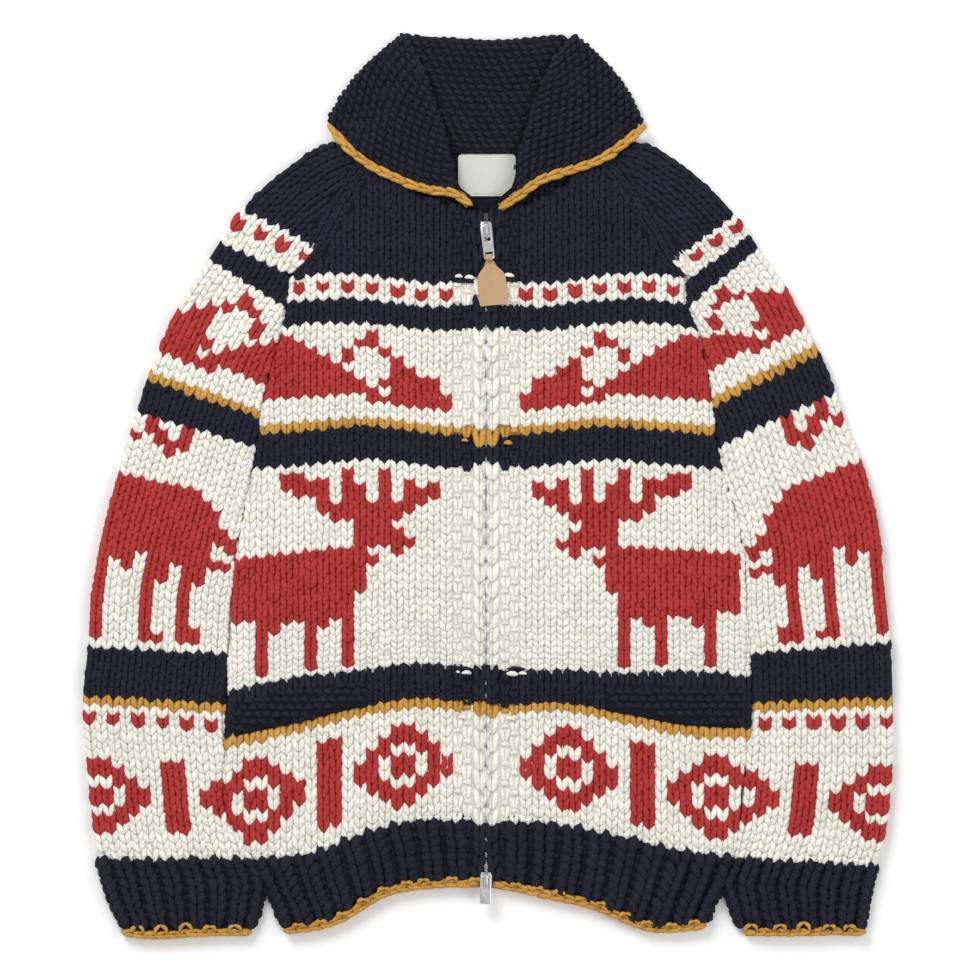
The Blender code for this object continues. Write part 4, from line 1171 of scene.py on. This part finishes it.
def knit_sleeve(side):
    grounds = yarn_materials()[1]
    pick = settings()
    surface = Surface("sleeve_" + side)
    outline = sleeve_outline(side)
    outers, inners, row_numbers = sleeve_guides(side)
    width = pick.stitch_width / MM
    places, ups, heights, yarns, kinds, widths, hearts = [], [], [], [], [], [], []
    middles = (outers[1:] + outers[:-1]) / 2
    reaches = (inners[1:] + inners[:-1]) / 2 - middles
    turns = np.gradient(unit(reaches), axis=0)
    for number in range(len(outers) - 1):
        outer = middles[number]
        span = np.linalg.norm(reaches[number])
        run = reaches[number] / span
        rib = number < row_numbers[1]
        if rib:
            offsets = np.arange(-1, 2 * CUFF_RIBS + 2) * span / (2 * CUFF_RIBS)
            pitch = span / (2 * CUFF_RIBS)
        else:
            count = int(span / width) + 4
            offsets = (np.arange(-2, count) + 0.5) * width
            pitch = width
        for k, offset in enumerate(offsets):
            column = k - (1 if rib else 2)
            share = np.clip(offset / span, 0, 1)
            rise = outers[number + 1] - outers[number]
            if rib:
                rise = rise * (1 - share) + (inners[number + 1] - inners[number]) * share
            else:
                rise = rise + turns[number] * offset
            places.append(outer + run * offset)
            height = abs(rise[0] * run[1] - rise[1] * run[0])
            heights.append(max(height, 3.0))
            ups.append((rise[0], rise[1], 0.0))
            widths.append(pitch * (RIB_SPREAD if rib else 1.0))
            kinds.append(0 if not rib else 1 + (column % 2))
            name = sleeve_colour(number, row_numbers, column)
            yarns.append(YARNS.index(name))
            hearts.append(name == "red" and number - row_numbers[1] == 15
                          or name == "red" and number - row_numbers[7] == 2)
    places, ups, heights = np.array(places), unit(np.array(ups)), np.array(heights)
    yarns, kinds, widths, hearts = np.array(yarns), np.array(kinds), np.array(widths), np.array(hearts)
    keep, points, normals = settle(places, surface, outline, 105, fold_inset=0.5)
    up = tangent_up(ups, normals)
    yarn = Yarn(21 if side == "left" else 22)
    here = keep & (kinds == 0)
    knit_field(yarn, (points - normals * 1.4)[here], up[here], normals[here], width, heights[here],
               yarns[here], hearts[here])
    for kind, sink, add in ((1, RIB_SINK, yarn.knits), (2, FURROW_SINK, yarn.purls)):
        here = keep & (kinds == kind)
        add((points - normals * sink)[here], up[here], normals[here], widths[here], heights[here],
            yarns[here])
    finder = colour_finder(places, yarns)
    raglan_column(yarn, side, "sleeve", surface, finder)
    shell = make_shell("sleeve_%s_cloth" % side, "sleeve_" + side, finder, grounds, 1.3)
    obj = yarn_piece("sleeve_%s_stitches" % side, yarn)
    return shell, obj


# Collar


def bowed(roll, edge, bow, shares):
    """Points from the roll to the edge, bowed sideways by bow at the middle."""
    run = edge - roll
    side = np.array([run[1], -run[0]]) / np.linalg.norm(run)
    return roll + run * shares[:, None] + side * (bow * 4 * shares * (1 - shares))[:, None]


def collar_lobe(side):
    """The outline of a collar half's fall: roll, side fold and bind-off edge."""
    mirror = 1 if side == "left" else -1
    shares = np.linspace(0, 1, 40)
    roll = along(ROLL[side] + (COLLAR_SIDE[side][0],), shares)
    edge = along(COLLAR_EDGE[side], shares)
    fold = [np.array(place, float) for place in COLLAR_SIDE[side]]
    outer = bowed(fold[0], fold[1], mirror * COLLAR_SIDE_BOW, np.linspace(0, 1, 20))
    outline = Outline()
    for points, is_fold in ((edge[::-1], False), (roll, True), (outer, True)):
        outline.add(points if side == "left" else points[::-1], is_fold)
    return outline, edge


def pebbles(edge, inward, rows, pitch, row, start):
    """Moss stitch in rows parallel to an edge: plan places and the way across the rows."""
    runs = unit(np.gradient(edge, axis=0))
    ins = np.stack([-runs[:, 1], runs[:, 0]], axis=1) * inward
    places, ups = [], []
    for k in range(rows):
        shifted = edge + ins * (start + k * row)
        along_row = path_lengths(shifted)
        stops = (np.arange(-12, along_row[-1] / pitch + 12) + (k % 2) * 0.5) * pitch
        for stop in stops:
            inside = np.clip(stop, 0, along_row[-1])
            x = np.interp(inside, along_row, shifted[:, 0])
            y = np.interp(inside, along_row, shifted[:, 1])
            run_x = np.interp(inside, along_row, runs[:, 0])
            run_y = np.interp(inside, along_row, runs[:, 1])
            more = stop - inside
            places.append((x + run_x * more, y + run_y * more))
            ups.append((-run_y * inward, run_x * inward, 0.0))
    return np.array(places), unit(np.array(ups))


def moss(yarn, points, ups, normals, keep, pitch, row, lean):
    """Moss stitch in navy: small slanted bumps, each row half a stitch along."""
    points, ups, normals = points[keep], ups[keep], normals[keep]
    count = len(points)
    across = np.cross(ups, normals)
    tilt = yarn.random.normal(lean, 0.16, (count, 1))
    sink = yarn.random.normal(1.1, 0.35, (count, 1))
    wobble = yarn.random.normal(0, 0.35, (count, 3))
    yarn.purls(points + wobble - normals * sink, unit(ups + across * tilt), normals, pitch * 1.02,
               row * 1.10, np.zeros(count, int))


def knit_collar():
    grounds = yarn_materials()[1]
    surface = Surface("collar")
    yarn = Yarn(31)
    pitch, row = 8.0, 5.9
    for side in ("left", "right"):
        outline, edge = collar_lobe(side)
        inward = 1 if side == "right" else -1
        places, ups = pebbles(edge, inward, 24, pitch, row, BIND_OFF / 2 + 2)
        keep, points, normals = settle(places, surface, outline, 115)
        up = tangent_up(ups, normals)
        moss(yarn, points, up, normals, keep, pitch, row, -0.5 * inward)
    shares = np.linspace(0, 1, 60)
    top = along(COLLAR_TOP, shares)
    places, ups = pebbles(top, -1, 22, pitch, row, -10)
    left = np.interp(places[:, 1], [p[1] for p in ROLL["left"]], [p[0] for p in ROLL["left"]])
    right = np.interp(places[:, 1], [p[1] for p in ROLL["right"]], [p[0] for p in ROLL["right"]])
    over = 3 - 12 * step((places[:, 1] - 380) / 20)
    between = (places[:, 0] > left + over) & (places[:, 0] < right - over)
    outline = Outline()
    outline.add(top[::-1], True)
    outline.add(((-145, 250), (145, 250)), False)
    keep, points, normals = settle(places, surface, outline, 115)
    keep &= between & (places[:, 1] > 299)
    up = tangent_up(-ups, normals)
    moss(yarn, points, up, normals, keep, pitch, row, 0.5)
    seam = np.stack([np.linspace(*NECK_SEAM, 30), np.full(30, NECK_SEAM_Y)], axis=1)
    chain(yarn, seam, np.full(30, GARMENT - 4.5), 8.0, 6.5, colour="navy")
    shell = make_shell("collar_cloth", "collar", lambda x, y: 0, grounds, 1.6)
    obj = yarn_piece("collar_stitches", yarn)
    return shell, obj


# Edgings


def chain(yarn, path, level, pitch, size, lean=0.32, colour="mustard"):
    """A bind-off edge along a path in plan: slanted loops that overlap like a plait. level gives
    its middle's height along it."""
    lengths = path_lengths(path)
    count = max(2, int(lengths[-1] / pitch))
    stops = (np.arange(count) + 0.5) * lengths[-1] / count
    at = np.stack([np.interp(stops, lengths, path[:, k]) for k in range(2)], axis=1)
    z = np.interp(stops, lengths, level)
    runs = unit(np.gradient(at, axis=0))
    runs3 = np.concatenate([runs, np.zeros((count, 1))], axis=1)
    sides = np.stack([-runs[:, 1], runs[:, 0], np.zeros(count)], axis=1)
    normals = np.tile([0.0, 0.0, 1.0], (count, 1))
    points = np.concatenate([at, z[:, None]], axis=1)
    shade = np.full(count, YARNS.index(colour))
    for hand in (-1, 1):
        wobble = yarn.random.normal(0, 0.25, (count, 3))
        reach = runs3 * pitch * 0.78
        foot = points + wobble - reach + sides * size * hand * 0.04 + normals * size * 0.14
        closing = np.minimum(1, (lengths[-1] - stops) / (1.6 * pitch))[:, None]
        reach = reach * (0.5 + 0.5 * closing)
        head = points + wobble + reach + sides * size * hand * lean * closing - normals * size * 0.18
        full = yarn.random.normal(1, 0.08, count)
        yarn.lobes(foot, head, normals, size * 0.26 * full, size * 0.30, shade, -hand * size * 0.05)


def edge_loops(yarn, path, level, pitch, rise):
    """Small open loops that stand from a bind-off up into the rib."""
    lengths = path_lengths(path)
    stops = np.arange(pitch * 0.5, lengths[-1], pitch)
    stops = stops + yarn.random.normal(0, pitch * 0.08, len(stops))
    at = np.stack([np.interp(stops, lengths, path[:, k]) for k in range(2)], axis=1)
    rise = rise * yarn.random.uniform(0.6, 1.2, len(stops))
    base = np.concatenate([at, np.full((len(stops), 1), level)], axis=1)
    lean = yarn.random.normal(0, 1, len(stops))
    crown = base + np.stack([lean, rise, np.full(len(stops), 0.9)], axis=1)
    normals = np.tile([0.0, 0.0, 1.0], (len(stops), 1))
    shade = np.full(len(stops), YARNS.index("mustard"))
    for hand in (-1, 1):
        foot = base + np.array([hand * pitch * 0.27, 0.4, 0.2])
        past = crown + np.array([-hand * 1.1, 0, 0])
        yarn.lobes(foot, past, normals, 1.9, 1.8, shade, hand * 2.2)


def ring_shell(name, node, ground, depth):
    return make_shell(name, node, lambda x, y: YARNS.index(ground), yarn_materials()[1], depth)


def hem_path(side, end_x, last_share):
    """The middle of a front's bind-off edge, from its side towards end_x."""
    shares = np.linspace(0.0, last_share, 40)
    heights = np.array(NAMED_ROWS[side]["hem"], float) + BIND_OFF / 2
    corner = float(side_x(side, heights[0]))
    x = corner + (end_x - corner) * shares
    return np.stack([x, smooth(STEPS, heights, shares)], axis=1)


def finish_edging(node, yarn, depth=1.0):
    """An edging's chain, and the mustard core under it, in the darker ground wool that is painted
    shade.
    """
    yarn_piece(node + "_chain", yarn)
    ring_shell(node + "_core", node, "mustard", depth)


def knit_edgings():
    for side in ("left", "right"):
        # Hem
        path = hem_path(side, zip_edge(side), 0.995)
        yarn = Yarn(41 if side == "left" else 42)
        chain(yarn, path, np.full(len(path), 10.2), 10.5, 8.6)
        edge_loops(yarn, path, 13.0, 21.0, 4.6)
        finish_edging("hem_edging_" + side, yarn)
        # Cuff
        start = np.array(SLEEVE_OUTER[side][0], float)
        end = np.array(CUFF_INNER[side][0], float)
        shares = np.linspace(0.0, 1.0, 20)
        path = start + (end - start) * shares[:, None]
        path[:, 1] += BIND_OFF / 2 + smooth(STEPS, CUFF_LINE[side], shares)
        yarn = Yarn(43 if side == "left" else 44)
        for level in (10.2, 6.4, 2.9):
            chain(yarn, path, np.full(len(path), level), 9.5, 7.8)
        edge_loops(yarn, path, 13.0, 22.0, 8.5)
        finish_edging("cuff_edging_" + side, yarn)
        # Collar
        surface = Surface("collar_edging_" + side)
        path = along(COLLAR_EDGE[side], np.linspace(0.0, 1.0, 60))
        level = surface.heights(path)
        known = ~np.isnan(level)
        level = np.interp(np.arange(len(path)), np.arange(len(path))[known], level[known])
        corner = np.array(COLLAR_SIDE[side][1], float)
        rising = path[-1] + (corner - path[-1]) * np.linspace(0.2, 0.75, 4)[:, None]
        path = np.concatenate([path, rising])
        level = np.append(level, np.full(len(rising), level[-1]))
        yarn = Yarn(45 if side == "left" else 46)
        chain(yarn, path, level - 2.0, 12.0, 8.6)
        finish_edging("collar_edging_" + side, yarn)
    yarn = Yarn(47)
    left, right = (hem_path(side, ZIP_X, 1.0) for side in ("left", "right"))
    path = np.concatenate([left, right[::-1][1:]])
    chain(yarn, path, np.full(len(path), 3.0), 8.6, 7.0)
    finish_edging("hem_edging_back", yarn, 0.8)
    yarn = Yarn(48)
    path = along(FALL_EDGE, np.linspace(0.06, 0.94, 40))
    path[:, 1] -= BIND_OFF / 2 + GAP
    chain(yarn, path, np.full(len(path), 2.9), 11.0, 7.4)
    finish_edging("collar_edging_back", yarn, 0.8)


def knit_welts():
    """Knits both pocket welts in moss stitch."""
    grounds = yarn_materials()[1]
    for side in ("left", "right"):
        node = "pocket_welt_" + side
        surface = Surface(node)
        low, high = (np.array(corner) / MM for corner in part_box(node))
        pitch, row = 8.4, 6.6
        places = np.array([
            (x + (k % 2) * pitch / 2, y)
            for k, y in enumerate(np.arange(low[1], high[1], row))
            for x in np.arange(low[0], high[0], pitch)
        ])
        z, normals = surface.with_normals(places)
        foot = front_heights(side, np.array([2.16]), places[:, 0])[0]
        keep = ~np.isnan(z) & (places[:, 1] > foot + 3.5)
        points = np.concatenate([places, z[:, None]], axis=1)
        up = tangent_up(np.tile([0.0, 1.0, 0.0], (len(points), 1)), normals)
        yarn = Yarn(51 if side == "left" else 52)
        moss(yarn, points, up, normals, keep, pitch, row, 0.2)
        shell = make_shell(node + "_cloth", node, lambda x, y: 0, grounds, 1.2)
        obj = yarn_piece(node + "_stitches", yarn)


# Zip


def metal(name):
    made, nodes, link = principled(name, 0.28, 1.0)
    shader = nodes["Principled BSDF"]
    where = nodes.new("ShaderNodeTexCoord").outputs["Object"]
    fine = noise(nodes, link, where, 900.0)
    pick = settings()
    link(blend_colours(nodes, link, fine, scaled(pick.metal, 0.9), scaled(pick.metal, 1.06)),
         shader.inputs["Base Color"])
    link(bump(nodes, link, noise(nodes, link, where, 2600.0), 0.04, 0.4), shader.inputs["Normal"])
    return made


def refined(name, node, material, body, width, segments=3, angle=30, corner=0.0):
    """A node's own form with its sharp edges rounded, and its plan corners by this radius."""
    bm = cad_copy(node)
    bmesh.ops.dissolve_limit(bm, angle_limit=math.radians(4), verts=bm.verts, edges=bm.edges)
    if corner:
        upright = [
            edge for edge in bm.edges
            if abs((edge.verts[0].co - edge.verts[1].co).normalized().z) > 0.99
            and edge.calc_face_angle() > math.radians(8)
        ]
        bmesh.ops.bevel(bm, geom=upright, offset=corner, offset_type="OFFSET", segments=4,
                        profile=0.5, affect="EDGES", clamp_overlap=True, material=-1)
    bm.normal_update()
    sharp = [
        edge for edge in bm.edges
        if len(edge.link_faces) == 2 and edge.calc_face_angle() > math.radians(angle)
    ]
    bmesh.ops.bevel(bm, geom=sharp, offset=width, offset_type="OFFSET", segments=segments,
                    profile=0.5, affect="EDGES", clamp_overlap=True, material=-1)
    bmesh.ops.scale(bm, vec=(MM, MM, MM), verts=bm.verts)
    mesh = bpy.data.meshes.new(name)
    bm.to_mesh(mesh)
    bm.free()
    mesh.shade_smooth()
    mesh.set_sharp_from_angle(angle=math.radians(40))
    obj = finish_piece(name, mesh, [material], body)
    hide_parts(node)
    return obj


def strap_stitch(thread):
    """The short stitch of thread that closes the strap's loop."""
    bm = bmesh.new()
    bmesh.ops.create_uvsphere(bm, u_segments=14, v_segments=8, radius=1.0)
    bmesh.ops.scale(bm, vec=(1.5, 0.9, 0.7), verts=bm.verts)
    bmesh.ops.translate(bm, vec=STRAP_STITCH, verts=bm.verts)
    bmesh.ops.scale(bm, vec=(MM, MM, MM), verts=bm.verts)
    mesh = bpy.data.meshes.new("strap_stitch")
    bm.to_mesh(mesh)
    bm.free()
    mesh.shade_smooth()
    return finish_piece("pull_leather_stitch", mesh, [thread], "pull_leather")


def tooth_rows(shiny):
    """The zip's teeth: two rows of small rounded blocks that mesh, each joined in one mesh."""
    pitch = 2.5
    for side, hand in HAND.items():
        bm = bmesh.new()
        start = ZIP_END + 3 + (pitch / 2 if hand > 0 else 0)
        for y in np.arange(start, SLIDER_TOP, pitch):
            grown = bmesh.ops.create_cube(bm, size=1.0)
            bmesh.ops.scale(bm, vec=(2.6, 1.35, 2.2), verts=grown["verts"])
            middle = (ZIP_X + hand * 0.75, y, LAYER + 3.0)
            bmesh.ops.translate(bm, vec=middle, verts=grown["verts"])
        bmesh.ops.bevel(bm, geom=bm.edges[:], offset=0.25, offset_type="OFFSET", segments=1,
                        profile=0.5, affect="EDGES", clamp_overlap=True, material=-1)
        bmesh.ops.scale(bm, vec=(MM, MM, MM), verts=bm.verts)
        mesh = bpy.data.meshes.new("teeth_" + side)
        bm.to_mesh(mesh)
        bm.free()
        finish_piece("zip_teeth_" + side, mesh, [shiny])


def cloth_weave(name, colour, pitch, depth):
    """A close plain weave."""
    made, nodes, link = principled(name, 0.85)
    shader = nodes["Principled BSDF"]
    where = nodes.new("ShaderNodeTexCoord").outputs["Object"]
    split = nodes.new("ShaderNodeSeparateXYZ")
    link(where, split.inputs[0])
    warp = arithmetic(nodes, link, "PINGPONG", split.outputs["X"], pitch * MM / 2)
    weft = arithmetic(nodes, link, "PINGPONG", split.outputs["Y"], pitch * MM / 2)
    total = arithmetic(nodes, link, "ADD", warp, weft)
    height = arithmetic(nodes, link, "DIVIDE", total, pitch * MM)
    fine = noise(nodes, link, where, 260.0)
    shade = arithmetic(nodes, link, "ADD", arithmetic(nodes, link, "MULTIPLY", height, 0.5),
                       arithmetic(nodes, link, "MULTIPLY", fine, 0.5))
    link(blend_colours(nodes, link, shade, scaled(colour, 0.86), scaled(colour, 1.06)),
         shader.inputs["Base Color"])
    link(bump(nodes, link, height, depth, 0.7), shader.inputs["Normal"])
    return made


def leather_finish():
    made, nodes, link = principled("strap_leather", 0.55, Specular_IOR_Level=0.4)
    shader = nodes["Principled BSDF"]
    pick = settings()
    where = nodes.new("ShaderNodeTexCoord").outputs["Object"]
    cells = nodes.new("ShaderNodeTexVoronoi")
    cells.feature = "DISTANCE_TO_EDGE"
    cells.inputs["Scale"].default_value = 1300.0
    link(where, cells.inputs["Vector"])
    slow = noise(nodes, link, where, 90.0)
    link(blend_colours(nodes, link, slow, scaled(pick.leather, 0.86), scaled(pick.leather, 1.1)),
         shader.inputs["Base Color"])
    normal = bump(nodes, link, cells.outputs["Distance"], 0.12, 0.5)
    hollows = bump(nodes, link, noise(nodes, link, where, 420.0), 0.15, 0.4, normal)
    link(hollows, shader.inputs["Normal"])
    return made


def stitched_foot():
    """The line of pale thread along the label's foot."""
    yarn = Yarn(61)
    low, high = (np.array(corner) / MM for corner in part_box("neck_label"))
    x = np.arange(low[0] + 4, high[0] - 4, 3.2)
    start = np.stack([x, np.full(len(x), low[1] + 2.0), np.full(len(x), high[2])], axis=1)
    end = start + np.array([3.0, 0, 0])
    shade = np.full(len(x), YARNS.index("cream"))
    yarn.lobes(start, end, np.tile([0, 0, 1.0], (len(x), 1)), 0.5, 0.45, shade)
    return yarn_piece("neck_label_thread", yarn)


# Settings and operators


def colour_property(name, description, default):
    return FloatVectorProperty(
        name=name, description=description, default=default, size=3, min=0, max=1, subtype="COLOR"
    )


class CardiganSettings(bpy.types.PropertyGroup):
    stitch_width: FloatProperty(
        name="Stitch width", description="Width of one stitch", default=0.01107,
        min=0.006, max=0.02, unit="LENGTH",
    )
    row_height: FloatProperty(
        name="Row height", description="Height of one row in the yoke", default=0.0076,
        min=0.004, max=0.015, unit="LENGTH",
    )
    navy: colour_property("Navy", "Dark wool", (0.0072, 0.0098, 0.0160))
    navy_heather: colour_property("Navy fleck", "Lighter fibres in it", (0.0155, 0.0155, 0.0295))
    cream: colour_property("Cream", "Ground wool", (0.79, 0.755, 0.665))
    cream_heather: colour_property("Cream fleck", "Lighter fibres in it", (0.87, 0.84, 0.76))
    red: colour_property("Red", "Figure wool", (0.365, 0.026, 0.025))
    red_heather: colour_property("Red fleck", "Lighter fibres in it", (0.435, 0.042, 0.038))
    mustard: colour_property("Mustard", "Edge wool", (0.43, 0.205, 0.036))
    mustard_heather: colour_property("Mustard fleck", "Lighter fibres in it", (0.62, 0.335, 0.070))
    metal: colour_property("Metal", "Zip teeth, sliders and tabs", (0.64, 0.64, 0.65))
    leather: colour_property("Leather", "Pull", (0.46, 0.290, 0.155))
    label: colour_property("Label", "Woven label", (0.62, 0.625, 0.56))


class CardiganOperator:
    bl_options = {"REGISTER", "UNDO"}


class CARDIGAN_OT_fronts(CardiganOperator, bpy.types.Operator):
    """Knits both fronts, and colours the back's cloth as them"""

    bl_idname = "cardigan.fronts"
    bl_label = "Fronts and back"

    def execute(self, context):
        finders = {}
        for side in ("left", "right"):
            shell, stitches, finders[side] = knit_front(side)
        grounds = yarn_materials()[1]

        def finder(x, y):
            return finders["left" if x < ZIP_X else "right"](x, y)

        shell = make_shell("back_cloth", "back", finder, grounds, 0.4, longest=11.0)
        return {"FINISHED"}


class CARDIGAN_OT_sleeves(CardiganOperator, bpy.types.Operator):
    """Knits both sleeves"""

    bl_idname = "cardigan.sleeves"
    bl_label = "Sleeves"

    def execute(self, context):
        for side in ("left", "right"):
            shell, stitches = knit_sleeve(side)
        return {"FINISHED"}


class CARDIGAN_OT_collar(CardiganOperator, bpy.types.Operator):
    """Knits the shawl collar in moss stitch"""

    bl_idname = "cardigan.collar"
    bl_label = "Collar"

    def execute(self, context):
        shell, stitches = knit_collar()
        return {"FINISHED"}


class CARDIGAN_OT_edgings(CardiganOperator, bpy.types.Operator):
    """Makes the bind-off edges of collar, hem and cuffs, and the pocket welts"""

    bl_idname = "cardigan.edgings"
    bl_label = "Edgings and welts"

    def execute(self, context):
        knit_edgings()
        knit_welts()
        return {"FINISHED"}


class CARDIGAN_OT_zip(CardiganOperator, bpy.types.Operator):
    """Makes the zip with its teeth, sliders, tabs and leather pull"""

    bl_idname = "cardigan.zip"
    bl_label = "Zip"

    def execute(self, context):
        stitches = yarn_materials()[0]
        shiny = metal("zip_nickel")
        # Painted shade: the tape is made much darker than its own pale colour because it lies in deep
        # shade between the bands.
        tape = cloth_weave("tape_weave", (0.10, 0.098, 0.095), 0.8, 0.2)
        tooth_rows(shiny)
        for side in ("left", "right"):
            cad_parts["zip_tape_" + side].data.materials.clear()
            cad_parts["zip_tape_" + side].data.materials.append(tape)
        for which in ("top", "bottom"):
            refined("slider_%s_metal" % which, "slider_" + which, shiny, "root", 0.35)
            tab = "pull_tab_" + which
            refined(tab + "_metal", tab, shiny, tab, 0.3)
        leather = leather_finish()
        refined("pull_leather_strap", "pull_leather", leather, "pull_leather", 0.45,
                corner=1.5)
        strap_stitch(stitches[YARNS.index("mustard")])
        return {"FINISHED"}


class CARDIGAN_OT_label(CardiganOperator, bpy.types.Operator):
    """Makes the blank woven label"""

    bl_idname = "cardigan.label"
    bl_label = "Label"

    def execute(self, context):
        weave = cloth_weave("label_weave", settings().label, 0.7, 0.15)
        obj = refined("neck_label_cloth", "neck_label", weave, "root", 0.25,
                      corner=4.0)
        stitched_foot()
        return {"FINISHED"}


class CARDIGAN_OT_stage(CardiganOperator, bpy.types.Operator):
    """Lays the floor and sets the lights and the camera"""

    bl_idname = "cardigan.stage"
    bl_label = "Stage"

    def execute(self, context):
        bm = bmesh.new()
        bmesh.ops.create_grid(bm, x_segments=1, y_segments=1, size=4.0)
        mesh = bpy.data.meshes.new("floor")
        bm.to_mesh(mesh)
        bm.free()
        floor = bpy.data.objects.new("floor", mesh)
        context.scene.collection.objects.link(floor)
        made, nodes, link = principled("floor_paint", 0.9)
        nodes["Principled BSDF"].inputs["Base Color"].default_value = (0.93, 0.93, 0.93, 1)
        mesh.materials.append(made)
        world = bpy.data.worlds.new("studio")
        context.scene.world = world
        world.use_nodes = True
        background = world.node_tree.nodes["Background"]
        background.inputs["Color"].default_value = (1, 1, 1, 1)
        background.inputs["Strength"].default_value = 0.62
        for name, place, size, power in (
            ("key", (-1.2, 1.9, 2.4), 1.6, 62.0),
            ("fill", (1.8, -0.6, 2.6), 2.2, 26.0),
        ):
            data = bpy.data.lights.new(name, "AREA")
            data.shape = "DISK"
            data.size = size
            data.energy = power
            light = bpy.data.objects.new(name, data)
            light.location = place
            inward = Vector((0, 0, 0)) - Vector(place)
            light.rotation_euler = inward.to_track_quat("-Z", "Y").to_euler()
            context.scene.collection.objects.link(light)
        context.scene.view_settings.view_transform = "Standard"
        data = bpy.data.cameras.new("camera")
        data.sensor_width = 36.0
        reach = 6.0
        frame_width = 976 * 0.9 * MM
        data.lens = data.sensor_width * reach / frame_width
        camera = bpy.data.objects.new("camera", data)
        camera.location = (0, -1.5 * 0.9 * MM, reach + GARMENT * MM)
        context.scene.collection.objects.link(camera)
        context.scene.camera = camera
        return {"FINISHED"}


OPERATORS = (
    CARDIGAN_OT_fronts, CARDIGAN_OT_sleeves, CARDIGAN_OT_collar, CARDIGAN_OT_edgings,
    CARDIGAN_OT_zip, CARDIGAN_OT_label, CARDIGAN_OT_stage,
)


class CARDIGAN_PT_panel(bpy.types.Panel):
    bl_label = "Cardigan"
    bl_idname = "CARDIGAN_PT_panel"
    bl_space_type = "VIEW_3D"
    bl_region_type = "UI"
    bl_category = "Cardigan"

    def draw(self, context):
        for name in CardiganSettings.__annotations__:
            self.layout.prop(context.scene.cardigan, name)
        for operator in OPERATORS:
            self.layout.operator(operator.bl_idname)


def register():
    bpy.utils.register_class(CardiganSettings)
    bpy.types.Scene.cardigan = PointerProperty(type=CardiganSettings)
    for operator in OPERATORS:
        bpy.utils.register_class(operator)
    bpy.utils.register_class(CARDIGAN_PT_panel)


def unregister():
    bpy.utils.unregister_class(CARDIGAN_PT_panel)
    for operator in reversed(OPERATORS):
        bpy.utils.unregister_class(operator)
    del bpy.types.Scene.cardigan
    bpy.utils.unregister_class(CardiganSettings)


def main():
    register()
    bpy.ops.cardigan.fronts()
    bpy.ops.cardigan.sleeves()
    bpy.ops.cardigan.collar()
    bpy.ops.cardigan.edgings()
    bpy.ops.cardigan.zip()
    bpy.ops.cardigan.label()
    bpy.ops.cardigan.stage()


if __name__ == "__main__":
    main()
